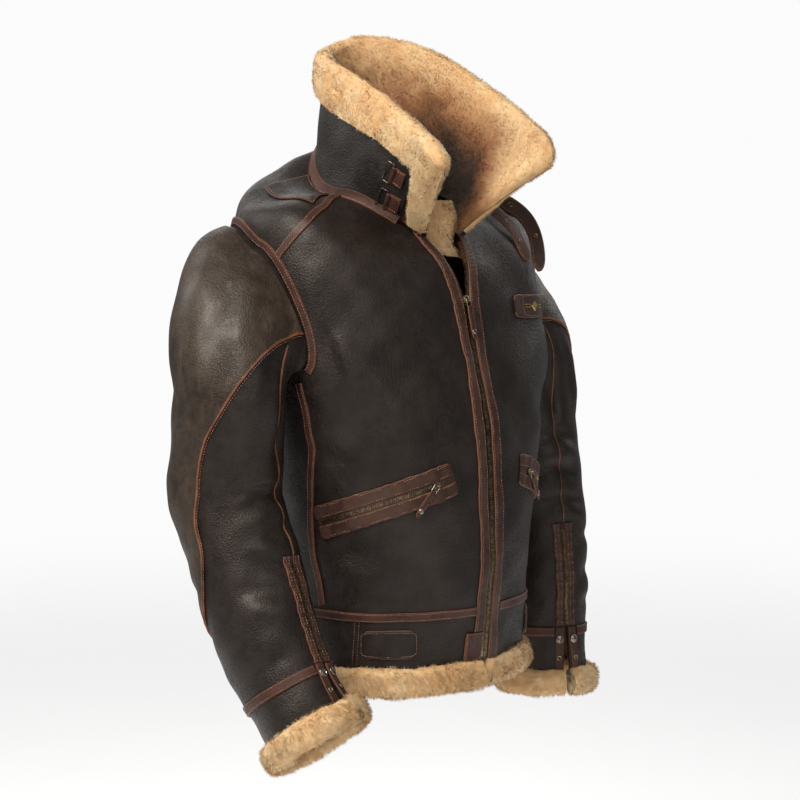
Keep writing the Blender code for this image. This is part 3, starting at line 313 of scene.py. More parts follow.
def floor_finish():
    """Pale and matte, and gone by its edge, so that no line shows behind the jacket."""
    white = (1.0, 1.0, 1.0, 1.0)
    made = Finish("studio_floor", Roughness=0.9, Emission_Color=white, Emission_Strength=0.42)
    spot = made.node("ShaderNodeMapping", {}, {"Vector": made.place()})
    away = made.node("ShaderNodeVectorMath", {"operation": "LENGTH"}, {0: spot}, 1)
    speckle = made.noise(3.0, 2.0)
    made.set(
        Base_Color=made.mix(speckle, (0.90, 0.90, 0.90), (0.93, 0.93, 0.925)),
        Alpha=away.between(FLOOR_REACH * 0.95, FLOOR_REACH * 0.12),
    )
    return made.material


DARK_TONES = (0.0062, 0.0038, 0.0031), (0.0160, 0.0102, 0.0084)
DARK = leather("dark_leather", *DARK_TONES, 0.43)
DARK_TAB = leather("tab_leather", *DARK_TONES, 0.42, 0.0004, edge=(0.10, 0.042, 0.026))
COLLAR_DARK = leather("collar_leather", (0.0052, 0.0042, 0.0038), (0.0150, 0.0122, 0.0108), 0.38, 0.0008)
# The overlay's streaks are painted highlights.
OVERLAY = leather(
    "overlay_leather", (0.0150, 0.0088, 0.0056), (0.040, 0.0260, 0.0165), 0.45, 0.0006,
    edge=(0.17, 0.064, 0.030), gloss=0.14, painted_highlight_streaks=0.55,
)
TAPE = leather(
    "tape_leather", (0.022, 0.0078, 0.0058), (0.064, 0.0225, 0.0145), 0.46, 0.0003,
    edge=(0.165, 0.064, 0.034),
)
STRIP = leather(
    "strip_leather", (0.024, 0.0095, 0.0066), (0.064, 0.0265, 0.0170), 0.44, 0.0003,
    edge=(0.165, 0.070, 0.040),
)
PIPING = leather("piping", (0.085, 0.030, 0.015), (0.23, 0.088, 0.043), 0.52, 0.0001)
# The fur's deepest colour is painted shade inside the collar, partly a darker dye.
FUR = pile_finish(
    "fur", root=(0.54, 0.290, 0.110), tip=(0.86, 0.645, 0.370), shade=(0.62, 0.335, 0.130),
    deep=(0.013, 0.0045, 0.0022),
)
# The lining's dark browns are painted shade: the pile inside the jacket, which is seen only in shade.
LINING = pile_finish(
    "pile_lining", root=(0.10, 0.045, 0.018), tip=(0.20, 0.105, 0.045), shade=(0.12, 0.055, 0.020),
    deep=(0.03, 0.01, 0.005),
)
BRASS = metal("antique_brass", (0.115, 0.085, 0.052), (0.46, 0.35, 0.21), 0.34)
FRAME = metal("dark_buckle_metal", (0.035, 0.026, 0.020), (0.20, 0.155, 0.120), 0.34)
STEEL = metal("old_silver", (0.10, 0.080, 0.062), (0.46, 0.40, 0.33), 0.30)
GOLD = metal("gold", (0.30, 0.20, 0.05), (0.80, 0.58, 0.20), 0.34)
THREAD = thread("tan_thread", (0.22, 0.095, 0.052), (0.52, 0.280, 0.170))
HOLE = thread("eyelet_hole", (0.004, 0.003, 0.003), (0.010, 0.007, 0.006))

# ---------------- the jacket's surfaces

WALL = 0.0040
SEAM = 0.0003
HALF_SEAM = SEAM / 2

# The body, ring by ring from the leather hem to the neckline.
TORSO_COLUMNS = ("side_z", "front_z", "back_z", "half_width", "front_y", "back_y", "power")
TORSO_RINGS = (
    (-0.567, -0.567, -0.567, 0.162, -0.160, 0.106, 2.10),
    (-0.500, -0.500, -0.500, 0.162, -0.168, 0.108, 2.10),
    (-0.430, -0.430, -0.430, 0.166, -0.174, 0.110, 2.15),
    (-0.360, -0.362, -0.358, 0.174, -0.173, 0.113, 2.20),
    (-0.290, -0.294, -0.285, 0.188, -0.166, 0.120, 2.45),
    (-0.205, -0.222, -0.190, 0.210, -0.153, 0.130, 2.65),
    (-0.135, -0.172, -0.105, 0.215, -0.140, 0.135, 2.65),
    (-0.066, -0.127, -0.020, 0.217, -0.130, 0.134, 2.60),
    (-0.018, -0.094, 0.032, 0.204, -0.121, 0.128, 2.35),
    (-0.003, -0.073, 0.056, 0.148, -0.108, 0.115, 2.10),
    (0.000, -0.056, 0.068, 0.086, -0.095, 0.098, 2.00),
)
WAIST_ROW, ARMPIT_ROW, TIP_ROW, NECK_ROW = 1.0, 5.0, 7.42, 10.0

# The armhole, an oval in degrees round the body and in rows up it.
ARMPIT_ANGLE, TIP_ANGLE = 80.0, 106.0
ARMHOLE_FORWARD, ARMHOLE_BACKWARD = 16.5, 32.0
SEAM_ALPHA = 126.0
SEAM_ALPHA_GAP = 0.35
SIDE_SEAM = (84.0, 85.0, 89.5, 88.0, 81.5, 80.0)
SHOULDER_SEAM = (  # row, angle, and the row on the back's middle line
    (6.92, 87.2, 8.30),
    (7.12, 80.0, 8.42),
    (7.65, 70.4, 8.65),
    (8.15, 67.0, 8.87),
    (8.85, 70.8, 9.25),
    (9.50, 79.6, 9.63),
    (10.0, 88.0, 10.0),
)
BACK_LINE_RISE = 4
ROWS_A_DEGREE = 0.04
ARMHOLE_GAP = 0.10

SLEEVE_COLUMNS = ("z", "out", "y", "half_width", "half_depth")
SLEEVE_ROWS = {
    RIGHT: (
        (-0.235, 0.269, -0.001, 0.057, 0.073),
        (-0.300, 0.263, 0.011, 0.061, 0.073),
        (-0.360, 0.263, 0.011, 0.062, 0.071),
        (-0.415, 0.262, -0.013, 0.062, 0.067),
        (-0.468, 0.263, -0.034, 0.062, 0.064),
        (-0.518, 0.263, -0.060, 0.060, 0.063),
        (-0.566, 0.260, -0.086, 0.057, 0.060),
        (-0.609, 0.253, -0.116, 0.057, 0.061),
    ),
    LEFT: (
        (-0.235, 0.269, 0.004, 0.057, 0.073),
        (-0.300, 0.262, -0.005, 0.060, 0.071),
        (-0.360, 0.262, -0.018, 0.061, 0.069),
        (-0.415, 0.262, -0.027, 0.062, 0.065),
        (-0.470, 0.262, -0.034, 0.060, 0.062),
        (-0.522, 0.262, -0.040, 0.057, 0.060),
        (-0.574, 0.260, -0.044, 0.052, 0.055),
        (-0.632, 0.258, -0.047, 0.053, 0.057),
    ),
}
CAP_START = (0.92, -0.28)  # the way in which a sleeve leaves its armhole: outward and up
CAP_BULGE, CAP_BULGE_TURN = (0.003, 0.014, 0.014), -45.0
CUFF_ROW, SLEEVE_END_ROW = 7.0, 8.0
FRONT_SEAM_TURN, BACK_SEAM_TURN = 108.0, 252.0

COLLAR_FRONT_ANGLE = 20.0
COLLAR_CREST = (  # the collar's upper edge, from the right wing round the back to the left wing
    (-0.108, -0.200, 0.041),
    (-0.089, -0.118, 0.093),
    (-0.078, -0.035, 0.138),
    (-0.058, 0.050, 0.172),
    (0.000, 0.103, 0.192),
    (0.062, 0.092, 0.207),
    (0.106, 0.020, 0.186),
    (0.134, -0.085, 0.120),
    (0.163, -0.157, 0.052),
)
COLLAR_ROLL = 0.013
COLLAR_FUR = 0.011
COLLAR_LEATHER = 0.0024
COLLAR_SLOT = 0.0014
COLLAR_LEATHER_END = 0.87
NECK_SEAM_ROW = 9.80
COLLAR_CORNERS = (0.020, 0.010)  # how far the left and the right wing's corners are rounded

TEETH_HALF = 0.0045
OPEN_ROW = 6.9
OPEN_HALF_AT_NECK = 0.031
STRIP_WIDTH = 0.0155


def steps(first, last, count):
    return np.linspace(first, last, count + 1)


def floats(*values):
    """Numbers or grids of them as float grids of one shape."""
    return np.broadcast_arrays(*(np.asarray(value, float) for value in values))


def unit(vectors):
    return vectors / np.maximum(np.linalg.norm(vectors, axis=-1, keepdims=True), 1e-12)


def dot(one, two):
    return (one * two).sum(-1)


def square_to(way, vector):
    """The part of a vector that is square to a way, one metre long."""
    return unit(vector - way * dot(vector, way)[..., None])


def bend(start, leave, end, arrive, part):
    """Places on a smooth curve from start to end, with its slopes at both."""
    square, cube = part**2, part**3
    return (
        start * (2 * cube - 3 * square + 1)
        + leave * (cube - 2 * square + part)
        + end * (3 * square - 2 * cube)
        + arrive * (cube - square)
    )


def smooth(value):
    value = np.clip(value, 0.0, 1.0)
    return value * value * (3 - 2 * value)


def signed_power(value, exponent):
    return np.copysign(np.abs(value) ** exponent, value)


def table_at(table, row):
    """Every column of a table at fractional row numbers, on a smooth curve through its rows."""
    table = np.asarray(table, float)
    last = len(table) - 1
    row = np.clip(np.asarray(row, float), 0.0, last)
    low = np.minimum(row.astype(int), last - 1)
    part = (row - low)[..., None]
    padded = np.vstack((2 * table[0] - table[1], table, 2 * table[-1] - table[-2]))
    before, here, after, beyond = (padded[low + k] for k in range(4))
    return bend(here, (after - before) / 2, after, (beyond - here) / 2, part)


def columns_at(names, table, row):
    return dict(zip(names, np.moveaxis(table_at(table, row), -1, 0)))


def torso(angle, row):
    """Points of the body's outside, at degrees from the centre front, above 0 to the wearer's right."""
    angle, row = floats(angle, row)
    ring = columns_at(TORSO_COLUMNS, TORSO_RINGS, row)
    sine, cosine = np.sin(np.radians(angle)), np.cos(np.radians(angle))
    exponent = 2 / ring["power"]
    middle = (ring["front_y"] + ring["back_y"]) / 2
    half_depth = (ring["back_y"] - ring["front_y"]) / 2
    x = -ring["half_width"] * signed_power(sine, exponent)
    y = middle - half_depth * signed_power(cosine, exponent)
    end_z = np.where(cosine > 0, ring["front_z"], ring["back_z"])
    z = ring["side_z"] + (end_z - ring["side_z"]) * cosine**2
    return np.stack((x, y, z), -1)


TORSO_STEP = (0.5, 0.02)


def slopes(surface, u, v, step):
    along_u = (surface(u + step[0], v) - surface(u - step[0], v)) / (2 * step[0])
    along_v = (surface(u, v + step[1]) - surface(u, v - step[1])) / (2 * step[1])
    return along_u, along_v


def torso_normal(angle, row):
    row = np.clip(row, 2 * TORSO_STEP[1], NECK_ROW - 2 * TORSO_STEP[1])
    across, up = slopes(torso, np.asarray(angle, float), row, TORSO_STEP)
    return unit(np.cross(up, across))


def angle_at_x(row, half_gap):
    ring = columns_at(TORSO_COLUMNS, TORSO_RINGS, row)
    return np.degrees(np.arcsin((half_gap / ring["half_width"]) ** (ring["power"] / 2)))


def opening_half(row):
    part = np.maximum((np.asarray(row, float) - OPEN_ROW) / (NECK_ROW - OPEN_ROW), 0.0)
    return TEETH_HALF + SEAM + (OPEN_HALF_AT_NECK - TEETH_HALF) * part


def armhole_spot(alpha, forward, grow=0.0):
    turn = np.radians(alpha)
    lift = (1 - np.cos(turn)) / 2
    middle = ARMPIT_ANGLE + (TIP_ANGLE - ARMPIT_ANGLE) * lift
    reach = np.where(forward, -(ARMHOLE_FORWARD + grow), ARMHOLE_BACKWARD + grow)
    grow_rows = grow * ROWS_A_DEGREE
    row = (ARMPIT_ROW - grow_rows) + (TIP_ROW - ARMPIT_ROW + 2 * grow_rows) * lift
    return middle + reach * np.sin(turn), row


def armhole_place(side, turn, grow=0.0):
    turn = np.asarray(turn, float) % 360
    forward = turn <= 180
    angle, row = armhole_spot(np.where(forward, 180 - turn, turn - 180), forward, grow)
    return -side * angle, row


def armhole_point(side, turn, grow=0.0):
    return torso(*armhole_place(side, turn, grow))


def tube(side, turn, row):
    turn, row = floats(turn, row)
    line = columns_at(SLEEVE_COLUMNS, SLEEVE_ROWS[side], row)

    def centre(at):
        spot = columns_at(SLEEVE_COLUMNS, SLEEVE_ROWS[side], at)
        return np.stack((side * spot["out"], spot["y"], spot["z"]), -1)

    down = unit(centre(np.minimum(row + 0.1, 7.0)) - centre(np.maximum(row - 0.1, 0.0)))
    outward = square_to(down, np.array((side, 0.0, 0.0)))
    forward = square_to(down, np.array((0.0, -1.0, 0.0)))
    angle = np.radians(turn)
    return (
        centre(row)
        + outward * (line["half_width"] * np.cos(angle))[..., None]
        + forward * (line["half_depth"] * np.sin(angle))[..., None]
    )


def sleeve(side, turn, row):
    """Points of a sleeve's outside. Row 0 is the armhole, 1 the end of the cap, 8 the leather's end."""
    turn, row = floats(turn, row)
    start, end = armhole_point(side, turn), tube(side, turn, 0.0)
    reach = np.linalg.norm(end - start, axis=-1, keepdims=True)
    leave = np.array((side * CAP_START[0], 0.0, CAP_START[1])) * reach
    arrive = unit(tube(side, turn, 0.1) - end) * reach
    part = np.clip(row, 0.0, 1.0)[..., None]
    fullness = np.maximum(np.cos(np.radians(turn - CAP_BULGE_TURN)), 0.0)[..., None]
    bulge = np.array(CAP_BULGE) * (side, 1, 1) * fullness * 4 * part * (1 - part)
    cap = bend(start, leave, end, arrive, part) + bulge
    return np.where((row >= 1)[..., None], tube(side, turn, row - 1), cap)


SLEEVE_STEP = (1.0, 0.04)


def sleeve_normal(side, turn, row):
    row = np.clip(row, 0.05, SLEEVE_END_ROW - 0.05)
    around, down = slopes(functools.partial(sleeve, side), np.asarray(turn, float), row, SLEEVE_STEP)
    return unit(np.cross(around, down)) * side


def armhole_normal(side, turn):
    angle, row = armhole_place(side, turn)
    return unit(torso_normal(angle, row) + sleeve_normal(side, turn, 0.0))


# ---------------- folds in the leather

# A fold runs through places on its surface. It is so high, or so deep below 0, and so wide to each side.
Fold = collections.namedtuple("Fold", "height half_width places")


def folds(*rows):
    """Folds from rows of height and half width in millimetres, and then places."""
    return [Fold(tall / 1000, wide / 1000, places) for tall, wide, *places in rows]


BODY_FOLDS = folds(
    # from the right armhole down and towards the zip
    (-4.5, 11, (63, 5.9), (60, 5.3), (58, 4.6)),
    (3, 12, (57, 5.9), (53, 5.3), (52, 4.7)),
    (-2.8, 9, (74, 4.9), (60, 4.55), (47, 4.35)),
    # gathers at the right pocket's ends and the side seam
    (-3.5, 10, (84, 3.9), (70, 3.72), (55, 3.75)),
    (2.5, 10, (86, 4.25), (72, 4.05), (60, 4.1)),
    (-3, 12, (80, 2.2), (64, 2.1), (50, 2.3)),
    (2.2, 12, (82, 1.75), (60, 1.65), (44, 1.8)),
    (-2, 10, (72, 1.35), (52, 1.28), (34, 1.38)),
    # across the stomach and below the collar
    (-1.8, 16, (12, 4.6), (25, 4.3), (40, 4.35)),
    (1.6, 18, (14, 3.0), (28, 2.8), (42, 2.95)),
    (-2.2, 14, (30, 9.1), (45, 8.3), (56, 7.9)),
    # the left front
    (-4.5, 11, (-63, 5.9), (-60, 5.2), (-56, 4.5)),
    (3, 12, (-57, 5.9), (-52, 5.2), (-50, 4.6)),
    (-3.5, 11, (-84, 3.9), (-70, 3.7), (-55, 3.8)),
    (-2.8, 12, (-80, 2.1), (-64, 2.0), (-50, 2.2)),
    (2, 14, (-14, 4.4), (-30, 4.1), (-44, 4.3)),
    (-1.8, 12, (-70, 1.4), (-50, 1.3), (-30, 1.4)),
    # the back: soft folds from the armholes and across the waist
    (-5, 14, (128, 5.6), (140, 4.9), (150, 4.4)),
    (-5, 14, (-128, 5.6), (-141, 4.9), (-152, 4.3)),
    (3.5, 16, (132, 6.1), (148, 5.4), (158, 4.8)),
    (3.5, 16, (-131, 6.2), (-147, 5.5), (-158, 4.9)),
    (-4, 14, (110, 3.0), (140, 2.7), (176, 2.9)),
    (-3.8, 14, (-112, 2.9), (-140, 2.6), (-170, 2.7)),
    (3, 16, (118, 2.4), (150, 2.1), (-170, 2.2)),
    (-3.2, 12, (108, 1.8), (130, 1.6), (160, 1.75)),
    (-3.2, 12, (-106, 1.85), (-132, 1.62), (-160, 1.7)),
    (-2.6, 16, (168, 8.8), (180, 8.5), (-168, 8.8)),
)
SLEEVE_FOLDS = {
    RIGHT: folds(
        # from the armhole's front down the cap
        (-4, 12, (100, 0.45), (78, 1.0), (62, 1.8)),
        (3, 12, (84, 0.6), (66, 1.2), (52, 2.0)),
        (-5, 9, (122, 0.8), (112, 1.5), (98, 2.3)),
        (-2.5, 18, (30, 0.35), (28, 0.9), (20, 1.6)),
        (2, 20, (4, 0.4), (2, 1.0), (-2, 1.8)),
        # the elbow's creases, short and uneven, from the inside of the bend
        (-6.2, 8.5, (128, 2.92), (92, 2.72), (58, 2.95)),
        (3, 8, (110, 2.62), (80, 2.42), (52, 2.6)),
        (-5.5, 7.5, (120, 3.42), (88, 3.3), (52, 3.6)),
        (3, 8, (104, 3.2), (76, 3.05), (46, 3.28)),
        (-4.5, 8, (132, 3.95), (96, 3.92), (66, 4.12)),
        (2.6, 8.5, (108, 3.72), (82, 3.66), (54, 3.88)),
        (-4, 9, (118, 4.55), (88, 4.62), (50, 4.4)),
        (2.6, 9, (96, 4.28), (70, 4.25), (42, 4.15)),
        (-3, 11, (84, 5.25), (56, 5.15), (26, 4.95)),
        (-2.6, 10, (96, 6.05), (66, 5.9), (36, 6.0)),
        (2.2, 11, (90, 5.65), (60, 5.55), (30, 5.45)),
        (-2.2, 9, (80, 6.7), (50, 6.55), (10, 6.7)),
        # behind the elbow
        (-3, 13, (-40, 3.2), (-70, 3.5), (-100, 3.4)),
        (-2.8, 12, (-20, 4.4), (-50, 4.7), (-90, 4.8)),
        (2, 14, (-30, 2.4), (-60, 2.7), (-95, 2.6)),
        (-3, 12, (-60, 1.2), (-80, 1.8), (-90, 2.4)),
        (-4, 12, (170, 1.4), (200, 2.0), (215, 2.8)),
        (-4, 10, (150, 3.2), (180, 3.4), (215, 3.3)),
        (-3.5, 10, (150, 4.3), (185, 4.4), (220, 4.1)),
    ),
    LEFT: folds(
        (-4, 12, (98, 0.5), (80, 1.1), (66, 1.9)),
        (3, 12, (82, 0.7), (66, 1.3), (54, 2.1)),
        (-5, 9, (124, 1.0), (112, 1.7), (100, 2.5)),
        (-5, 8.5, (140, 2.6), (106, 2.45), (70, 2.7)),
        (3, 9, (128, 2.9), (98, 2.85), (64, 3.05)),
        (-5.5, 8.5, (146, 3.25), (112, 3.15), (76, 3.45)),
        (-4.5, 8.5, (140, 3.9), (108, 3.85), (70, 4.05)),
        (2.8, 9, (130, 4.2), (100, 4.2), (62, 4.35)),
        (-3.5, 9, (80, 4.9), (56, 4.8), (30, 4.95)),
        (-3, 10, (84, 5.8), (56, 5.7), (24, 5.8)),
        (-3, 10, (152, 5.2), (176, 5.3), (206, 5.1)),
        (-2.6, 9, (86, 6.5), (56, 6.4), (16, 6.6)),
        (-3, 13, (-30, 2.8), (-64, 3.1), (-100, 3.0)),
        (-2.8, 12, (-16, 4.2), (-50, 4.5), (-92, 4.5)),
        (-3, 12, (-60, 1.2), (-80, 1.8), (-92, 2.4)),
        (2.2, 14, (20, 1.2), (10, 2.0), (0, 2.8)),
        (-4, 12, (172, 1.4), (200, 2.0), (216, 2.8)),
    ),
}
# Low swells that no listed fold makes: metres high, and waves a metre along each axis.
SWELLS = (
    (0.0011, (52.0, 31.0, 24.0), 0.4),
    (0.0009, (-37.0, 44.0, 41.0), 1.9),
    (0.0006, (81.0, -56.0, 67.0), 3.1),
    (0.0004, (-104.0, 98.0, 112.0), 5.2),
)


FOLD_SPANS = 10


def fold_height(points, folds, surface):
    """How far the leather stands above its plain form, for each point."""
    height = np.zeros(points.shape[:-1])
    for tall, waves, phase in SWELLS:
        height += tall * np.sin(points @ np.array(waves) + phase)
    for fold in folds:
        places = np.array(fold.places, float)
        if abs(places[0, 0] - places[-1, 0]) > 180:
            places[:, 0] %= 360
        line = surface(*table_at(places, steps(0, len(places) - 1, FOLD_SPANS)).T)
        away = np.full(height.shape, np.inf)
        along = np.zeros(height.shape)
        for k in range(len(line) - 1):
            span = line[k + 1] - line[k]
            part = np.clip((points - line[k]) @ span / span.dot(span), 0.0, 1.0)
            far = np.linalg.norm(points - (line[k] + part[..., None] * span), axis=-1)
            nearer = far < away
            away = np.where(nearer, far, away)
            along = np.where(nearer, (k + part) / (len(line) - 1), along)
        taper = np.sin(np.pi * np.clip(along, 0.02, 0.98)) ** 0.8
        height += fold.height * taper * np.exp(-((away / fold.half_width) ** 2))
    return height


ARMHOLE_RING = {side: armhole_point(side, np.arange(0.0, 360.0, 6.0)) for _, side in SIDES}
CALM_AT_ARMHOLE, CALM_NEAR_ARMHOLE = 0.003, 0.022
CALM_NEAR_NECK = 1.3  # rows


def torso_relief(angle, row):
    points = torso(angle, row)
    height = fold_height(points, BODY_FOLDS, torso)
    for ring in ARMHOLE_RING.values():
        away = np.full(height.shape, np.inf)
        for spot in ring:
            away = np.minimum(away, np.linalg.norm(points - spot, axis=-1))
        height = height * smooth((away - CALM_AT_ARMHOLE) / CALM_NEAR_ARMHOLE)
    return height * smooth((NECK_ROW - np.asarray(row, float)) / CALM_NEAR_NECK)


SEAM_DIP, SEAM_DIP_WIDTH = 0.0016, 0.0045
METRES_A_TURN_DEGREE = 0.00115
CALM_CAP = 0.45  # rows of the sleeve's cap


def sleeve_relief(side, turn, row):
    turn, row = floats(turn, row)
    points = sleeve(side, turn, row)
    height = fold_height(points, SLEEVE_FOLDS[side], lambda u, v: sleeve(side, u, v))
    for seam in (FRONT_SEAM_TURN, BACK_SEAM_TURN):
        away = ((turn - seam + 180) % 360 - 180) * METRES_A_TURN_DEGREE
        height = height - SEAM_DIP * np.exp(-((away / SEAM_DIP_WIDTH) ** 2))
    return height * smooth(row / CALM_CAP)


# ---------------- skins, which pieces are cut from or lie on


class Skin:
    def __init__(self, surface, normal, relief, step):
        self.surface, self.normal, self.relief, self.step = surface, normal, relief, step

    def point(self, u, v, lift=0.0):
        """Points this far off the folded surface."""
        height = self.relief(u, v) + lift
        return self.surface(u, v) + self.normal(u, v) * height[..., None]

    def moved(self, u, v, way):
        """The places (u, v) moved by vectors that lie along the surface."""
        start = self.surface(u, v)
        for _ in range(3):
            left = way - (self.surface(u, v) - start)
            along_u, along_v = slopes(self.surface, u, v, self.step)
            a, b, c = dot(along_u, along_u), dot(along_u, along_v), dot(along_v, along_v)
            p, q = dot(along_u, left), dot(along_v, left)
            whole = a * c - b * b
            u, v = u + (c * p - b * q) / whole, v + (a * q - b * p) / whole
        return u, v

    def beside(self, path, metres):
        """The places in lines beside a path, as two grids of (stations, offsets)."""
        path = np.asarray(path, float)
        u, v = path[:, 0], path[:, 1]
        line = self.surface(u, v)
        along = np.gradient(line, axis=0)
        aside = unit(np.cross(self.normal(u, v), along))
        metres = np.broadcast_to(np.asarray(metres, float), (len(path), np.shape(metres)[-1]))
        return self.moved(u[:, None], v[:, None], aside[:, None, :] * metres[..., None])


BODY = Skin(torso, torso_normal, torso_relief, TORSO_STEP)
SLEEVES = {
    side: Skin(
        functools.partial(sleeve, side),
        functools.partial(sleeve_normal, side),
        functools.partial(sleeve_relief, side),
        SLEEVE_STEP,
    )
    for _, side in SIDES
}


def path_at(u, v):
    """A path of places, from both its coordinates, one of which may be a single number."""
    return np.stack(np.broadcast_arrays(u, v), -1)


# ---------------- making meshes


def link(name, data, finish, body="jacket", extra=()):
    made = show(bpy.data.objects.new(name, data))
    for each in (finish, *extra):
        data.materials.append(each)
    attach(made, body)
    return made


def mesh_from(name, points, faces, finish, body="jacket", extra=(), sharp=42, attributes=None):
    data = bpy.data.meshes.new(name)
    data.from_pydata([tuple(p) for p in points], [], [tuple(f) for f in faces])
    for title, values in (attributes or {}).items():
        layer = data.attributes.new(title, "FLOAT", "POINT")
        layer.data.foreach_set("value", np.asarray(values, np.float32).ravel())
    data.validate()
    data.shade_smooth()
    data.set_sharp_from_angle(angle=math.radians(sharp))
    return link(name, data, finish, body, extra)


def index_quads(index):
    """The faces between a grid's point numbers."""
    return np.stack((index[:-1, :-1], index[:-1, 1:], index[1:, 1:], index[1:, :-1]), -1).reshape(-1, 4)


def shell_faces(rows, columns):
    """The faces of a grid, of a second one below it, and of the rim between them."""
    count = rows * columns
    index = np.arange(count).reshape(rows, columns)
    loop = np.concatenate((index[0, :-1], index[:-1, -1], index[-1, :0:-1], index[:0:-1, 0]))
    after = np.roll(loop, -1)
    rim = np.stack((after, loop, loop + count, after + count), 1)
    return index_quads(index), index_quads(index)[:, ::-1] + count, rim


def wall(name, outer, inner, finish, rim=None, inside=None, **more):
    """A closed wall between two grids of points, (rows, columns, 3)."""
    faces = shell_faces(*outer.shape[:2])
    points = np.concatenate((outer.reshape(-1, 3), inner.reshape(-1, 3)))
    attributes = {} if rim is None else {"rim": np.tile(np.broadcast_to(rim, outer.shape[:2]).ravel(), 2)}
    more["extra"] = (inside,) if inside else ()
    made = mesh_from(name, points, np.concatenate(faces), finish, attributes=attributes, **more)
    if inside:
        slots = np.repeat((0, 1, 0), [len(part) for part in faces]).astype(np.int32)
        if len(made.data.polygons) == len(slots):
            made.data.polygons.foreach_set("material_index", slots)
    flip_if_inside_out(made.data)
    return made


def flip_if_inside_out(data):
    mesh = bmesh.new()
    mesh.from_mesh(data)
    if mesh.calc_volume(signed=True) < 0:
        bmesh.ops.reverse_faces(mesh, faces=mesh.faces)
        mesh.to_mesh(data)
    mesh.free()


def tape_piece(made, nodes=()):
    finish_piece(made, nodes)


def finish_piece(made, nodes=()):
    """Hides the solids that a piece replaces."""
    if nodes:
        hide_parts(*nodes)
    return made


# ---------------- panels

PANEL_STEP = 4  # spans to one of the solids' own


def half_seam_degrees(angle, row):
    along = slopes(torso, np.asarray(angle, float), np.clip(row, 0.1, 9.9), TORSO_STEP)[0]
    return HALF_SEAM / np.linalg.norm(along, axis=-1)


def side_seam_angle(row):
    return table_at([(a,) for a in SIDE_SEAM], row)[..., 0]


def panel_edge(forward):
    """The edge of a front or of the back, from the waist up.

    Angles, rows, rows on the back's middle line, and turns round the sleeve along the armhole.
    """
    toward, fine = -1 if forward else 1, PANEL_STEP
    rows = steps(WAIST_ROW, ARMPIT_ROW, 8 * fine)[:-1]
    angles = side_seam_angle(rows)
    parts = [(angles + toward * half_seam_degrees(angles, rows), rows, rows, rows * np.nan)]
    if forward:
        alpha = np.append(steps(0, SEAM_ALPHA, 7 * fine)[:-1], SEAM_ALPHA - SEAM_ALPHA_GAP)
        angle, row = armhole_spot(alpha, True, ARMHOLE_GAP)
        parts.append((angle, row, row, 180 - alpha))
    else:
        alpha = steps(0, 180, 10 * fine)
        angle, row = armhole_spot(alpha, False, ARMHOLE_GAP)
        parts.append((angle, row, row, 180 + alpha))
        alpha = np.append(steps(180, SEAM_ALPHA, 3 * fine)[1:-1], SEAM_ALPHA + SEAM_ALPHA_GAP)
        angle, row = armhole_spot(alpha, True, ARMHOLE_GAP)
        rise = np.arange(1, len(alpha) + 1) / len(alpha)
        middle = TIP_ROW + (SHOULDER_SEAM[0][2] - TIP_ROW) * rise
        parts.append((angle, row, middle, 180 - alpha))
    row, angle, middle = table_at(SHOULDER_SEAM, steps(0, len(SHOULDER_SEAM) - 1, 7 * fine)[1:]).T
    parts.append((angle + toward * half_seam_degrees(angle, row), row, middle, row * np.nan))
    return [np.concatenate(column) for column in zip(*parts)]


def body_wall(side, angle, row, seam_turns=None):
    """Outer and inner grids. Seam_turns says which column meets the sleeve, and where."""
    outer = BODY.point(angle, row)
    normal = BODY.normal(angle, row)
    if seam_turns is not None:
        column, turns = seam_turns
        held = ~np.isnan(turns)
        normal[held, column] = armhole_normal(side, turns[held])
    return outer, outer - normal * WALL


def make_panel(name, node, grids):
    made = wall(name, *grids, DARK, inside=LINING)
    finish_piece(made, [node])


def make_fronts():
    for name, side in SIDES:
        edge, row, _, turns = panel_edge(True)
        centre = angle_at_x(row, opening_half(row))
        angle = -side * (centre[:, None] + (edge - centre)[:, None] * steps(0, 1, 11 * PANEL_STEP))
        grids = body_wall(side, angle, row[:, None], (-1, turns))
        make_panel(f"front_{name}_panel", f"front_{name}", grids)


def make_back():
    edge, row, middle, turns = panel_edge(False)
    part = steps(0, 1, 10 * PANEL_STEP)
    halves = []
    for _, side in SIDES:
        angle = -side * (edge[:, None] + (180 - edge)[:, None] * part)
        rise = 1 - (1 - part) ** BACK_LINE_RISE
        rows = row[:, None] + (middle - row)[:, None] * rise
        halves.append(body_wall(side, angle, rows, (0, turns)))
    grids = [np.concatenate((right, left[:, -2::-1]), axis=1) for right, left in zip(*halves)]
    make_panel("back_panel", "back", grids)


WAISTBAND_GAP = 0.0022  # rows below the waist seam


def make_waistband():
    rows = steps(0.0, WAIST_ROW - WAISTBAND_GAP, 3 * PANEL_STEP)
    edge = side_seam_angle(rows)
    trim = half_seam_degrees(edge, rows)
    for name, side in SIDES:
        centre = angle_at_x(rows, opening_half(rows))
        part = steps(0, 1, 10 * PANEL_STEP)
        angle = -side * (centre[:, None] + (edge - trim - centre)[:, None] * part)
        grids = body_wall(side, angle, rows[:, None])
        make_panel(f"waistband_{name}_panel", f"waistband_{name}", grids)
    start = edge + trim
    angle = start[:, None] + (360 - 2 * start)[:, None] * steps(0, 1, 20 * PANEL_STEP)
    grids = body_wall(RIGHT, angle, rows[:, None])
    make_panel("waistband_back_panel", "waistband_back", grids)


def sleeve_wall(side, rows, first, last, count):
    skin = SLEEVES[side]
    around = slopes(skin.surface, np.full(len(rows), float(first)), np.maximum(rows, 0.1), skin.step)[0]
    trim = (HALF_SEAM / np.linalg.norm(around, axis=-1))[:, None]
    turn = (first + trim) + (last - first - 2 * trim) * steps(0, 1, count)
    outer, normal = skin.point(turn, rows[:, None]), skin.normal(turn, rows[:, None])
    normal[0] = armhole_normal(side, turn[0])
    return outer, outer - normal * WALL


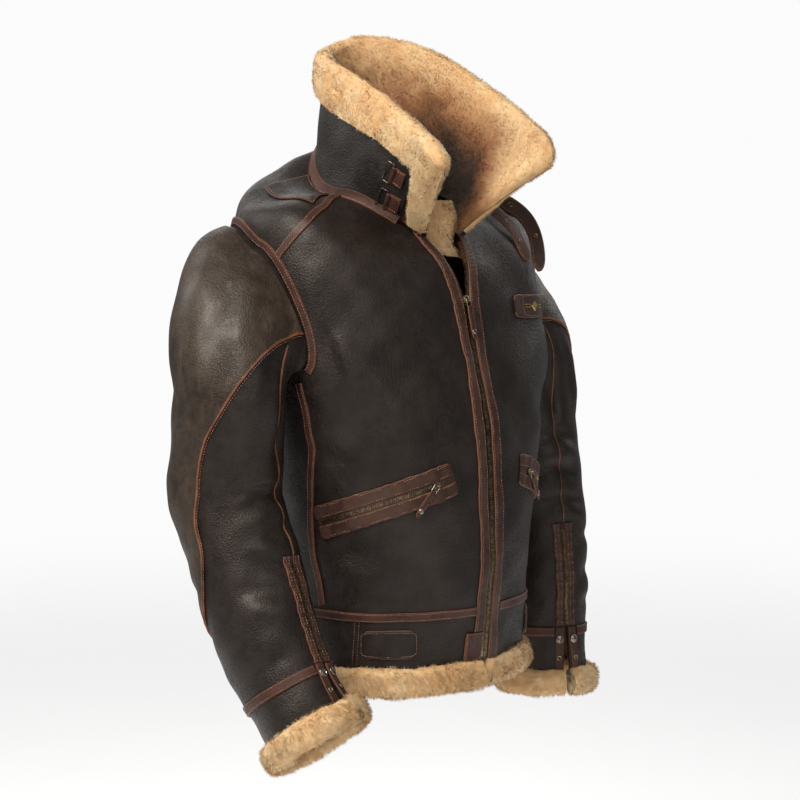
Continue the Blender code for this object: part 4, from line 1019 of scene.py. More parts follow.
def make_sleeves():
    rows = np.concatenate((steps(0, 1, 5 * PANEL_STEP), steps(1, CUFF_ROW, 22 * PANEL_STEP)[1:]))
    rows[-1] -= 0.003
    for name, side in SIDES:
        top, under = f"sleeve_{name}_top", f"sleeve_{name}_under"
        grids = sleeve_wall(side, rows, BACK_SEAM_TURN - 360, FRONT_SEAM_TURN, 13 * PANEL_STEP)
        make_panel(top + "_panel", top, grids)
        grids = sleeve_wall(side, rows, FRONT_SEAM_TURN, BACK_SEAM_TURN, 8 * PANEL_STEP)
        make_panel(under + "_panel", under, grids)


CUFF_SLIT_TURN = {RIGHT: 103.0, LEFT: 112.0}
CUFF_SLIT_HALF = (2.4, 5.6)  # degrees, at its top and at its bottom


def cuff_slit_half(row):
    top, bottom = CUFF_SLIT_HALF
    return top + (bottom - top) * (np.asarray(row, float) - CUFF_ROW)


def make_cuffs():
    rows = steps(CUFF_ROW + 0.004, SLEEVE_END_ROW, 3 * PANEL_STEP)[:, None]
    half = cuff_slit_half(rows)
    for name, side in SIDES:
        turn = CUFF_SLIT_TURN[side] + half + (360 - 2 * half) * steps(0, 1, 18 * PANEL_STEP)
        outer = SLEEVES[side].point(turn, rows)
        grids = outer, outer - SLEEVES[side].normal(turn, rows) * WALL
        make_panel(f"cuff_{name}_panel", f"cuff_{name}", grids)


# ---------------- tapes, tabs and patches

LIFT = 0.0008
STRAP_LEATHER = 0.0017
# Across a strip from edge to edge: where its lines lie, how full the leather is there, and how worn.
EDGE_ROLL = np.array((-1.0, -0.985, -0.93, -0.8, -0.4, 0.0, 0.4, 0.8, 0.93, 0.985, 1.0))
EDGE_SOFT = np.array((0.25, 0.72, 0.95, 1.0, 1.0, 1.0, 1.0, 1.0, 0.95, 0.72, 0.25))
EDGE_RIM = np.array((1.0, 0.95, 0.60, 0.0, 0.0, 0.0, 0.0, 0.0, 0.60, 0.95, 1.0))
BAND = (EDGE_ROLL + 1) / 2
ROUND_ENDS = (12, 0.16, 0.501)
SQUARE_ENDS = (30, 0.12, 0.502)


def eased(count):
    """Parts of a way from 0 to 1, closer together at both ends."""
    return 0.5 - 0.5 * np.cos(steps(0, math.pi, count))


def end_width(part, ends):
    """How wide a strip is along its length: 1, and less at its rounded ends."""
    power, root, reach = ends
    return (1 - np.clip((part - 0.5) / reach, -1, 1) ** power) ** root


def laid(name, skin, u, v, heights, rims, finish, under=LIFT * 0.5):
    """A piece over a grid of places on a skin, with a height for each."""
    base, normal = skin.point(u, v), skin.normal(u, v)
    outer = base + normal * (np.zeros(base.shape[:2]) + heights)[..., None]
    return wall(name, outer, base + normal * under, finish, rims)


def ribbon(name, skin, path, half_width, finish, lift=LIFT, thick=STRAP_LEATHER):
    """A strip along a path, with rounded edges. Half_width may differ from station to station."""
    u, v = skin.beside(path, np.reshape(half_width, (-1, 1)) * EDGE_ROLL)
    return laid(name, skin, u, v, lift + thick * EDGE_SOFT, EDGE_RIM, finish, lift * 0.5)


TAPE_HALF = 0.0048
ARMHOLE_TAPE_AWAY, ARMHOLE_TAPE_LOWEST = 0.0068, 18.0
SHOULDER_TAPE = ((83.0, 6.88), (70.4, 7.65), (67.0, 8.15), (70.8, 8.85), (79.6, 9.50), (85.2, 9.84))
SIDE_TAPE_ROWS = (1.12, 4.82)
CUFF_TAPE_ROW, CUFF_TAPE_CLEAR = 7.12, 18  # degrees from the middle of the slit
WAIST_TAPE_ROW, WAIST_TAPE_CLEAR = 0.96, 0.0022


def armhole_tape_path(side, count):
    """The line beside the armhole, from below its front over the shoulder and down its back."""
    alphas = steps(ARMHOLE_TAPE_LOWEST, 180, count)
    pieces = []
    for forward, alpha in ((True, alphas), (False, alphas[::-1][1:])):

        def spot(alpha, grow=0.0, forward=forward):
            angle, row = armhole_spot(alpha, forward, grow)
            return -side * angle, row

        angle, row = spot(alpha)
        along = torso(*spot(alpha + 2)) - torso(*spot(alpha - 2))
        outward = torso(*spot(alpha, 2.0)) - torso(angle, row)
        aside = unit(np.cross(torso_normal(angle, row), along))
        aside = aside * np.sign(dot(aside, outward))[..., None] * ARMHOLE_TAPE_AWAY
        pieces.append(path_at(*BODY.moved(angle, row, aside)))
    return np.concatenate(pieces)


def shoulder_tape_path(side, count):
    path = table_at(SHOULDER_TAPE, steps(0, len(SHOULDER_TAPE) - 1, count))
    return path * np.array((-side, 1.0))


def side_tape_path(side, count):
    rows = steps(*SIDE_TAPE_ROWS, count)
    return path_at(-side * side_seam_angle(rows), rows)


def cuff_tape_path(side, count):
    turn = CUFF_SLIT_TURN[side] + steps(CUFF_TAPE_CLEAR, 360 - CUFF_TAPE_CLEAR, count)
    return path_at(turn, CUFF_TAPE_ROW)


def waist_tape_path(count):
    start = float(angle_at_x(WAIST_TAPE_ROW, opening_half(0.0) + STRIP_WIDTH + WAIST_TAPE_CLEAR))
    return path_at(steps(start, 360 - start, count), WAIST_TAPE_ROW)


OVERLAY_EDGE = (  # the overlay's front edge, as rows and turns
    (0.05, 117.0), (0.32, 105.0), (0.55, 86.0), (0.70, 68.0), (0.84, 50.0), (1.00, 33.0), (1.48, 21.0),
    (2.30, 16.0), (2.80, 14.0), (3.40, 5.0), (4.10, -1.0), (4.70, -12.0), (5.20, -28.0), (5.50, -62.0),
)
OVERLAY_BACK_TURN = -104.0
OVERLAY_LIFT, OVERLAY_THICK = 0.0010, 0.0016


def overlay_edge(row):
    rows = np.array([station for station, _ in OVERLAY_EDGE])
    part = np.interp(row, rows, np.arange(len(rows)))
    return table_at(OVERLAY_EDGE, part)[..., 1]


OVERLAY_ROWS = (0.05, 1.0, 5.5)
OVERLAY_RIM = 0.020  # the part of its width that is worn
OVERLAY_THREAD_ROWS, OVERLAY_THREAD_IN = (0.08, 5.46), 0.0030
PIPING_HALF, PIPING_THICK = 0.0011, 0.0016
SEAM_LINE_TOP, SEAM_LINE_END = 0.35, 4.43
SEAM_LINE_ASIDE, SEAM_LINE_HALF, SEAM_LINE_LIFT, SEAM_LINE_THICK = 1.2, 0.0009, -0.0002, 0.0011


def make_overlays():
    start, cap_end, end = OVERLAY_ROWS
    on_cap, below = steps(start, cap_end, 6 * PANEL_STEP), steps(cap_end, end, 18 * PANEL_STEP)
    for name, side in SIDES:
        skin, rows = SLEEVES[side], np.concatenate((on_cap, below[1:]))
        part = steps(0, 1, 12 * PANEL_STEP)
        turn = OVERLAY_BACK_TURN + (overlay_edge(rows) - OVERLAY_BACK_TURN)[:, None] * part
        rim = np.clip((part - (1 - OVERLAY_RIM)) / OVERLAY_RIM, 0, 1)
        top = OVERLAY_LIFT + OVERLAY_THICK
        node = f"overlay_{name}_panel"
        made = laid(node, skin, turn, rows[:, None], top, rim, OVERLAY, OVERLAY_LIFT * 0.5)
        finish_piece(
            made, ["sleeve_overlay_" + name],
        )
        path = path_at(overlay_edge(rows), rows)[::2]
        lift = OVERLAY_LIFT + OVERLAY_THICK * 0.6
        tape_piece(ribbon(f"overlay_{name}_piping", skin, path, PIPING_HALF, PIPING, lift, PIPING_THICK))
        rows = steps(*OVERLAY_THREAD_ROWS, 90)
        path = path_at(overlay_edge(rows), rows)
        stitch_lines(f"overlay_{name}_thread", skin, path, (-OVERLAY_THREAD_IN * side,), top)
        path = path_at(FRONT_SEAM_TURN + SEAM_LINE_ASIDE, steps(SEAM_LINE_TOP, SEAM_LINE_END, 50))
        node = f"sleeve_{name}_seam_line"
        tape_piece(ribbon(node, skin, path, SEAM_LINE_HALF, PIPING, SEAM_LINE_LIFT, SEAM_LINE_THICK))


def make_tape(kind, place, skin, path, spans, half_width, sewn):
    """A tape and the two lines of stitches along it, each with its own number of spans."""
    made = ribbon(f"{kind}_tape{place}_cut", skin, path(spans[0]), half_width, TAPE)
    tape_piece(made, [f"{kind}_tape{place}"])
    stitch_lines(f"{kind}{place}_thread", skin, path(spans[1]), (-sewn, sewn), LIFT + STRAP_LEATHER)


def make_tapes():
    for name, side in SIDES:
        body, cuff = [f"front_{name}_panel", "back_panel"], [f"cuff_{name}_panel"]
        for kind, skin, path, spans, half_width, sewn, flat, rests_on in (
            ("armhole", BODY, armhole_tape_path, (44, 60), TAPE_HALF, 0.0034, (0.0100, 0.52), body),
            ("shoulder", BODY, shoulder_tape_path, (34, 40), TAPE_HALF, 0.0034, (0.0100, 0.135), body),
            ("side", BODY, side_tape_path, (48, 60), 0.0045, 0.0031, (0.0100, 0.27), body),
            ("cuff", SLEEVES[side], cuff_tape_path, (70, 90), 0.0058, 0.0042, (0.0116, 0.335), cuff),
        ):
            path = functools.partial(path, side)
            make_tape(kind, "_" + name, skin, path, spans, half_width, sewn)
    make_tape("waist", "", BODY, waist_tape_path, (200, 260), 0.0052, 0.0037)


PLACKET_TOP, PLACKET_MEET, PLACKET_END = 4.45, 6.985, 7.95
PLACKET_HALF, PLACKET_GROOVE = 0.0140, 0.0038
PLACKET_THREADS = (-0.0116, -0.0066, 0.0066, 0.0116)
CUFF_TAB_TOP, CUFF_TAB_SPREAD = 7.015, 0.0034
CUFF_ZIP_ROWS, CUFF_ZIP_HALF, CUFF_ZIP_LIFT = (4.57, 6.93), 0.0024, 0.0021
BAND_FLOOR = 0.001  # a section's heights above this belong to its soft bands


def bands(half, groove, thick, floor=0.0007):
    """Two soft bands with a sunk floor between them: offsets, heights and rims across a section."""
    width = half - groove
    offsets = np.concatenate((-half + width * BAND, (-groove * 0.97, groove * 0.97), groove + width * BAND))
    heights = np.concatenate((thick * EDGE_SOFT, (floor, floor), thick * EDGE_SOFT))
    rims = np.concatenate((EDGE_RIM, (0.0, 0.0), EDGE_RIM))
    return offsets, heights, rims


def cuff_tab_middle(row):
    """How far a cuff tab's middle line is from the slit's."""
    return (PLACKET_HALF + PLACKET_GROOVE) / 2 + CUFF_TAB_SPREAD * (row - CUFF_ROW)


def make_plackets():
    for name, side in SIDES:
        skin, slit = SLEEVES[side], CUFF_SLIT_TURN[side]
        offsets, heights, rims = bands(PLACKET_HALF, PLACKET_GROOVE, STRAP_LEATHER)
        rows = steps(PLACKET_TOP, PLACKET_MEET, 54)
        sway = 1 + 0.05 * np.sin(rows * 9.0) + 0.03 * np.sin(rows * 21.0)
        ripple = 0.0005 * np.sin(rows * 26.0)
        path = path_at(slit, rows)
        u, v = skin.beside(path, sway[:, None] * offsets)
        lines = LIFT + heights + ripple[:, None] * (heights > BAND_FLOOR)
        made = laid(f"cuff_placket_{name}_cut", skin, u, v, lines, rims, STRIP)
        tape_piece(made, ["cuff_placket_" + name])
        stitch_lines(f"cuff_placket_{name}_thread", skin, path, PLACKET_THREADS, 0.0026)
        rows = steps(CUFF_TAB_TOP, PLACKET_END, 14)
        middle, half = cuff_tab_middle(rows)[:, None], (PLACKET_HALF - PLACKET_GROOVE) / 2
        for way, sign in (("back", -1), ("front", 1)):
            u, v = skin.beside(path_at(slit, rows), sign * middle + half * EDGE_ROLL)
            heights = LIFT + STRAP_LEATHER * EDGE_SOFT
            made = laid(f"cuff_tab_{name}_{way}", skin, u, v, heights, EDGE_RIM, STRIP)
            tape_piece(made, ())
        path = path_at(slit, steps(*CUFF_ZIP_ROWS, 60))
        make_teeth(f"cuff_zip_{name}_teeth", skin, path, CUFF_ZIP_HALF, CUFF_ZIP_LIFT, ["cuff_zip_" + name])


STRIP_AWAY = 0.0009
STRIP_LOW, STRIP_TOP = 0.03, 9.86
STRIP_THREADS = (0.0021, STRIP_WIDTH - 0.0026)
OPEN_TEETH_ROWS, OPEN_TEETH_SIZE = (OPEN_ROW + 0.02, 9.7), (0.0026, 0.0014, 0.0018)
END_PATCH_TOP, END_PATCH_WIDTH, END_PATCH_LEATHER = 0.56, 0.027, 0.0020


def front_places(rows, distances):
    """Places on the front from rows and distances from the centre line, the wearer's left above 0."""
    x = np.broadcast_to(distances, (len(rows), np.shape(distances)[-1]))
    angle = angle_at_x(rows[:, None], np.abs(x))
    return -np.sign(x) * angle, np.repeat(rows[:, None], x.shape[1], 1)


def front_line(rows, distances):
    """One line down the front: its angles and rows."""
    u, v = front_places(rows, distances[:, None])
    return u[:, 0], v[:, 0]


def make_zip_strips():
    for name, side in SIDES:
        low = END_PATCH_TOP + 0.02 if side == RIGHT else STRIP_LOW
        rows = np.concatenate((steps(low, OPEN_ROW, 110), steps(OPEN_ROW, STRIP_TOP, 50)[1:]))
        near = opening_half(rows) + STRIP_AWAY
        sway = 0.0004 * np.sin(rows * 7.0 + side) + 0.0003 * np.sin(rows * 17.0)
        across = near[:, None] + (STRIP_WIDTH + sway)[:, None] * BAND
        u, v = front_places(rows, side * across[:, ::side])
        heights = LIFT + STRAP_LEATHER * EDGE_SOFT + 0.0003 * np.sin(rows * 33.0)[:, None]
        made = laid(f"zip_strip_{name}_cut", BODY, u, v, heights, EDGE_RIM, STRIP)
        tape_piece(made, ["zip_strip_" + name])
        for k, inset in enumerate(STRIP_THREADS):
            u, v = front_line(rows, side * (near + inset))
            thread_on(f"zip_strip_{name}_thread_{k}", BODY, u, v, LIFT + STRAP_LEATHER)


def make_front_teeth():
    for name, side in SIDES:
        rows = steps(*OPEN_TEETH_ROWS, 60)
        u, v = front_line(rows, side * (opening_half(rows) - 0.0006))
        out = BODY.normal(u, v)
        spots = along_line(BODY.surface(u, v) - out * 0.0012, out, FRONT_PITCH)
        scatter(f"open_teeth_{name}", TOOTH, *spots, OPEN_TEETH_SIZE, BRASS)
    path = path_at(0.0, steps(STRIP_LOW, OPEN_ROW - 0.02, 160))
    make_teeth("front_zip_teeth_row", BODY, path, 0.0036, 0.0002, ["front_zip_teeth"], FRONT_PITCH)


def make_zip_end_patch():
    near = opening_half(0.0) + STRIP_AWAY
    rows = steps(STRIP_LOW, END_PATCH_TOP, 24)
    from_middle = (rows - rows.mean()) / (rows[-1] - rows.mean())
    corner = (1 - np.abs(from_middle * 0.985) ** 10) ** 0.1
    across = near + END_PATCH_WIDTH * (0.5 + (EDGE_ROLL / 2) * corner[:, None])
    u, v = front_places(rows, -across)
    heights = LIFT + END_PATCH_LEATHER * EDGE_SOFT
    made = laid("zip_end_patch_cut", BODY, u, v, heights, EDGE_RIM, TAPE)
    tape_piece(made, ["zip_end_patch"])
    ring = rounded_ring(0.0115, 0.0165)
    vectors = plane_vectors(ring, torso_normal(5.0, 0.29), (0.0, 0.0, 1.0))
    middle = float(angle_at_x(0.29, near + END_PATCH_WIDTH / 2))
    u, v = BODY.moved(middle, 0.295, vectors)
    thread_on("zip_end_patch_thread", BODY, u, v, LIFT + END_PATCH_LEATHER)


def plane_vectors(flat, out, up):
    """Flat (aside, up) distances as vectors across a surface with this outward way."""
    up = square_to(out, np.array(up))
    return flat[:, :1] * np.cross(up, out) + flat[:, 1:] * up


def rounded_ring(half_wide, half_tall, power=7.0, count=72):
    turn = np.radians(steps(0, 360, count))
    ring = np.stack((np.cos(turn), np.sin(turn)), 1)
    ring = signed_power(ring, 2 / power)
    return ring * np.array((half_wide, half_tall))


# The pockets, as places on the wearer's right: (angle, row) at the back end and at the front end.
POCKET_BACK, POCKET_FRONT = (84.6, 2.56), (17.0, 3.38)
POCKET_HALF, POCKET_GROOVE, POCKET_LEATHER = 0.0200, 0.0046, 0.0022
POCKET_THREADS = (-0.0181, -0.0062, 0.0062, 0.0181)
POCKET_SLIDER = 0.872  # the part of the way to the front end
POCKET_ZIP_HALF, POCKET_ZIP_LIFT = 0.0026, 0.0016


def pocket_place(side, part):
    angle, row = (a + (b - a) * np.asarray(part, float) for a, b in zip(POCKET_BACK, POCKET_FRONT))
    return np.stack((-side * angle, row), -1)


def make_pockets():
    for name, side in SIDES:
        part = eased(90)
        offsets, heights, rims = bands(POCKET_HALF, POCKET_GROOVE, POCKET_LEATHER)
        outer = np.abs(offsets) > POCKET_GROOVE * 1.6
        across = np.where(outer, offsets * end_width(part, SQUARE_ENDS)[:, None], offsets)
        ripple = 0.0005 * np.sin(part * 60.0) + 0.0004 * np.sin(part * 23.0 + 1.0)
        across = across * (1 + 60.0 * np.abs(ripple[:, None]))
        u, v = BODY.beside(pocket_place(side, part), across)
        lines = LIFT + heights + ripple[:, None] * (heights > BAND_FLOOR)
        made = laid(f"pocket_welt_{name}_cut", BODY, u, v, lines, rims, STRIP)
        tape_piece(made, ["pocket_welt_" + name])
        path = pocket_place(side, steps(0.02, 0.98, 80))
        stitch_lines(f"pocket_{name}_thread", BODY, path, POCKET_THREADS, LIFT + POCKET_LEATHER - 0.0001)
        path = pocket_place(side, steps(0.03, POCKET_SLIDER - 0.036, 80))
        node = "pocket_zip_" + name
        make_teeth(node + "_teeth", BODY, path, POCKET_ZIP_HALF, POCKET_ZIP_LIFT, [node])


def corner_grid(corners, columns, rows, roll=0.04):
    """A grid between four places, with extra lines near its edges, and how full and worn it is there."""
    low_a, low_b, high_a, high_b = (np.array(c, float) for c in corners)

    def lines(count):
        near = np.array((0, roll / 4, roll))
        return np.concatenate((near, steps(roll * 2, 1 - roll * 2, count), 1 - near[::-1]))

    across, up = lines(columns), lines(rows)
    s, t = across[None, :, None], up[:, None, None]
    grid = (low_a * (1 - s) + low_b * s) * (1 - t) + (high_a * (1 - s) + high_b * s) * t
    edge = np.minimum(np.minimum(across, 1 - across)[None, :], np.minimum(up, 1 - up)[:, None])
    from_edge = np.clip(edge / roll, 0, 1)
    return grid[..., 0], grid[..., 1], 0.25 + 0.75 * from_edge**0.5, 1 - from_edge


# The shoulder patch's corners (low back, low front, high back, high front), and its sewing inside them.
SHOULDER_PATCH = ((122.0, 8.62), (75.6, 8.76), (128.0, 9.80), (92.5, 9.80))
SHOULDER_PATCH_SEWN = (
    (120.5, 8.68), (98.0, 8.75), (77.0, 8.82), (85.5, 9.30), (93.2, 9.74), (110.0, 9.74), (126.8, 9.74),
    (123.6, 9.20), (120.5, 8.68),
)
SHOULDER_PATCH_LOW, SHOULDER_PATCH_LEATHER = 0.0018, 0.0016


def make_shoulder_patches():
    for name, side in SIDES:
        flip = np.array((-side, 1.0))
        u, v, soft, rim = corner_grid([corner * flip for corner in SHOULDER_PATCH], 22, 14)
        heights = SHOULDER_PATCH_LOW + SHOULDER_PATCH_LEATHER * soft
        made = laid(f"shoulder_patch_{name}_cut", BODY, u, v, heights, rim, DARK_TAB, 0.0012)
        finish_piece(
            made, ["shoulder_patch_" + name],
        )
        corners = np.array(SHOULDER_PATCH_SEWN) * flip
        line = np.concatenate([np.linspace(a, b, 12)[:-1] for a, b in zip(corners, corners[1:])])
        top = SHOULDER_PATCH_LOW + SHOULDER_PATCH_LEATHER
        thread_on(f"shoulder_patch_{name}_thread", BODY, *line.T, top)


WAIST_TAB_ANGLES, WAIST_TAB_ROW, WAIST_TAB_HALF, WAIST_TAB_LEATHER = (61.0, 37.0), 0.47, 0.0175, 0.0022
WAIST_TAB_SEWN = (0.0335, 0.0145)
WAIST_POSTS, WAIST_POST_ROWS = (64.2, 66.4), (0.08, 0.88)


def make_waist_tabs():
    for name, side in SIDES:
        first, last = WAIST_TAB_ANGLES
        part = eased(30)
        path = path_at(-side * (first + (last - first) * part), WAIST_TAB_ROW)
        half = WAIST_TAB_HALF * end_width(part, ROUND_ENDS)
        made = ribbon(f"waist_tab_{name}_cut", BODY, path, half, DARK_TAB, LIFT, WAIST_TAB_LEATHER)
        finish_piece(made, ["waist_tab_" + name])
        ring = rounded_ring(*WAIST_TAB_SEWN)
        middle = -side * (first + last) / 2
        vectors = plane_vectors(ring, torso_normal(middle, WAIST_TAB_ROW), (0.0, 0.0, 1.0))
        u, v = BODY.moved(middle, WAIST_TAB_ROW, vectors)
        thread_on(f"waist_tab_{name}_thread", BODY, u, v, LIFT + WAIST_TAB_LEATHER)
        for k, angle in enumerate(WAIST_POSTS):
            path = path_at(-side * angle, steps(*WAIST_POST_ROWS, 20))
            stitch_lines(f"waist_tab_{name}_post_{k}", BODY, path, (0.0,), 0.0002)


CHEST_PATCH = np.array(((-19.5, 6.62), (-51.0, 6.12)))
CHEST_PATCH_HALF, CHEST_PATCH_LEATHER, CHEST_PATCH_SEWN = 0.0150, 0.0018, (0.0300, 0.0125)
# The mark on it: a lozenge, and two bars on each side of it (where they begin, and how high they lie).
MARK_WIDE, MARK_TALL = 0.0085, 0.0062
BARS, BAR_END, BAR_HALF = ((0.0105, 0.0016), (0.0125, -0.0016)), 0.024, 0.0007
MARK_TOP, MARK_LOW, MARK_FLARE = 0.0026, 0.0014, 1.12


def make_chest_patch():
    part = eased(26)
    path = CHEST_PATCH[0] + (CHEST_PATCH[1] - CHEST_PATCH[0]) * part[:, None]
    half = CHEST_PATCH_HALF * end_width(part, ROUND_ENDS)
    made = ribbon("chest_patch_cut", BODY, path, half, TAPE, LIFT, CHEST_PATCH_LEATHER)
    tape_piece(made, ["chest_patch"])
    middle = CHEST_PATCH.mean(0)
    out = torso_normal(*middle)
    aside = square_to(out, torso(*CHEST_PATCH[1]) - torso(*CHEST_PATCH[0]))
    up = np.cross(out, aside)

    def on_patch(flat):
        return BODY.moved(*middle, flat[:, :1] * aside + flat[:, 1:] * up)

    u, v = on_patch(rounded_ring(*CHEST_PATCH_SEWN))
    thread_on("chest_patch_thread", BODY, u, v, LIFT + CHEST_PATCH_LEATHER)
    shapes = [((-MARK_WIDE, 0.0), (0.0, -MARK_TALL), (MARK_WIDE, 0.0), (0.0, MARK_TALL))]
    for way in (-1, 1):
        for start, middle_height in BARS:
            low, high = middle_height - BAR_HALF, middle_height + BAR_HALF
            near, far = way * start, way * BAR_END
            shapes.append(((near, low), (far, low), (far, high), (near, high)))
    points, faces = [], []
    for shape in np.array(shapes):
        first = len(points)
        points += [*BODY.point(*on_patch(shape), LIFT + MARK_TOP)]
        points += [*BODY.point(*on_patch(shape * MARK_FLARE), LIFT + MARK_LOW)]
        faces.append([first + k for k in range(4)])
        for k in range(4):
            after = (k + 1) % 4
            faces.append((first + k, first + 4 + k, first + 4 + after, first + after))
    made = mesh_from("chest_patch_mark", points, faces, GOLD, sharp=30)


# ---------------- many small things: threads, teeth


def frames_of(along, out):
    along = square_to(out, along)
    return np.cross(along, out), along, out


def along_line(line, normals, pitch, start=0.5):
    """Evenly spaced places on a line: points, ways along it and outward ways."""
    lengths = np.linalg.norm(np.diff(line, axis=0), axis=1)
    reach = np.concatenate(((0.0,), np.cumsum(lengths)))
    count = max(int(reach[-1] / pitch), 1)
    at = (np.arange(count) + start) * reach[-1] / count
    points = np.stack([np.interp(at, reach, line[:, k]) for k in range(3)], 1)
    out = unit(np.stack([np.interp(at, reach, normals[:, k]) for k in range(3)], 1))
    tangents = np.gradient(line, axis=0) / np.maximum(np.gradient(reach), 1e-9)[:, None]
    along = np.stack([np.interp(at, reach, tangents[:, k]) for k in range(3)], 1)
    return points, along, out


STITCH = (
    ((0, -1, 0), (0.5, 0, 0.1), (0, 0, 1), (-0.5, 0, 0.1), (0, 1, 0), (0, 0, -0.6)),
    ((0, 1, 2), (1, 4, 2), (4, 3, 2), (3, 0, 2), (1, 0, 5), (4, 1, 5), (3, 4, 5), (0, 3, 5)),
)
TOOTH = (
    (
        (-1, -0.9, -1), (1, -0.7, -1), (1, 0.7, -1), (-1, 0.9, -1),
        (-1, -0.65, 1), (0.8, -0.42, 1), (0.8, 0.42, 1), (-1, 0.65, 1),
    ),
    ((3, 2, 1, 0), (4, 5, 6, 7), (0, 1, 5, 4), (1, 2, 6, 5), (2, 3, 7, 6), (3, 0, 4, 7)),
)


def scatter(name, template, origins, along, out, size, finish, nodes=(), body="jacket"):
    """Copies of a small shape, whose own axes go aside, along and out, at many places."""
    aside, along, out = frames_of(along, out)
    shape = np.array(template[0], float) * np.array(size)
    points = (
        origins[:, None, :]
        + aside[:, None, :] * shape[None, :, :1]
        + along[:, None, :] * shape[None, :, 1:2]
        + out[:, None, :] * shape[None, :, 2:]
    ).reshape(-1, 3)
    jump = np.arange(len(origins))[:, None, None] * len(shape)
    faces = (np.array(template[1])[None] + jump).reshape(-1, len(template[1][0]))
    made = mesh_from(name, points, faces, finish, body, sharp=35)
    return finish_piece(made, nodes)


STITCH_PITCH, STITCH_SIZE = 0.0034, (0.00072, 0.00140, 0.00042)
ZIP_PITCH, FRONT_PITCH = 0.0026, 0.0027


def make_thread(name, line, normals):
    """A sewn line: short threads end to end, a little uneven."""
    points, along, out = along_line(line, normals, STITCH_PITCH)
    uneven = np.sin(np.arange(len(points)) * 2.39)[:, None] * 0.10
    along = along + np.cross(out, along) * uneven
    return scatter(name, STITCH, points, along, out, STITCH_SIZE, THREAD)


def thread_on(name, skin, u, v, lift):
    make_thread(name, skin.point(u, v, lift), skin.normal(u, v))


def stitch_lines(name, skin, path, metres, lift):
    """Lines of stitches beside a path."""
    u, v = skin.beside(path, metres)
    for k in range(len(metres)):
        thread_on(f"{name}_{k}", skin, u[:, k], v[:, k], lift)


def make_teeth(name, skin, path, half, lift, nodes, pitch=ZIP_PITCH):
    """A closed zip along a path: teeth from both sides in turn."""
    line, out = skin.point(*path.T, lift), skin.normal(*path.T)
    size = (half * 0.72, pitch * 0.30, 0.0011)
    for k, sign in enumerate((-1, 1)):
        points, along, ways = along_line(line, out, pitch, 0.25 + 0.5 * k)
        points = points - frames_of(along, ways)[0] * sign * half * 0.30
        scatter(f"{name}_{k}", TOOTH, points, along * sign, ways, size, BRASS, () if k else nodes)


# ---------------- straps, buckles and metal fittings


def revolve(name, origin, out, profile, finish, body="jacket", count=22):
    """A round fitting: a profile turned about the outward way."""
    helper = np.array((0.0, 0.0, 1.0)) if abs(out[2]) < 0.9 else np.array((1.0, 0.0, 0.0))
    one = unit(np.cross(out, helper))
    two = np.cross(out, one)
    turn = np.radians(np.arange(count) * 360 / count)
    ring = np.cos(turn)[:, None] * one + np.sin(turn)[:, None] * two
    points = np.concatenate([origin + (ring * radius + out * height) / 1000 for radius, height in profile])
    faces = []
    for k in range(len(profile) - 1):
        for j in range(count):
            a, b = k * count + j, k * count + (j + 1) % count
            faces.append((a, b, b + count, a + count))
    made = mesh_from(name, points, faces, finish, body, sharp=50)
    flip_if_inside_out(made.data)
    return finish_piece(made)


# Profiles of round fittings, as (radius, height) in millimetres.
RIVET = ((3.4, 0.0), (3.4, 0.5), (2.9, 1.0), (2.0, 1.3), (1.0, 1.45), (0.01, 1.5))
SNAP = ((5.6, 0.0), (5.6, 0.7), (5.0, 1.4), (4.0, 1.4), (3.6, 0.9), (3.0, 1.3), (1.6, 1.9), (0.01, 2.0))
EYELET = ((3.2, 0.0), (3.1, 0.6), (2.6, 0.9), (2.0, 0.7), (1.6, 0.1), (1.6, -0.4))
EYELET_HOLE = ((1.7, 0.12), (0.01, 0.14))


def make_eyelet(name, origin, out):
    revolve(name, origin, out, EYELET, BRASS, count=18)
    revolve(name + "_hole", origin, out, EYELET_HOLE, HOLE, count=14)


# A strap's places, with how far it stands off the body at each, the way it faces besides, and its leather.
Strap = collections.namedtuple("Strap", "name places facing finish")

STRAPS = (
    Strap(
        "collar_strap_front",
        ((-60.0, 9.15, 0.009), (-50.0, 8.62, 0.006), (-40.5, 8.10, 0.004), (-36.5, 7.52, 0.003)),
        (0.0, -1.4, 0.0), TAPE,
    ),
    Strap(
        "collar_strap_back",
        ((-78.0, 9.05, 0.0120), (-66.0, 8.45, 0.0112), (-53.0, 7.70, 0.0098), (-40.0, 7.08, 0.0092)),
        (-1.6, -2.2, 0.0), STRIP,
    ),
)
STRAP_SPANS = 48
STRAP_HALF, STRAP_THICK, STRAP_BOW = 0.0105, 0.0022, 0.0006
STRAP_TIP, STRAP_TIP_LEAST = 0.80, 0.06  # where its tip begins, and the least of its half width there
STRAP_SEWN_IN, STRAP_SEWN_LEAST, STRAP_SEWN_LIFT = 0.0021, 0.003, 0.0021
STRAP_EYELETS = (16, 32)  # spans from its root


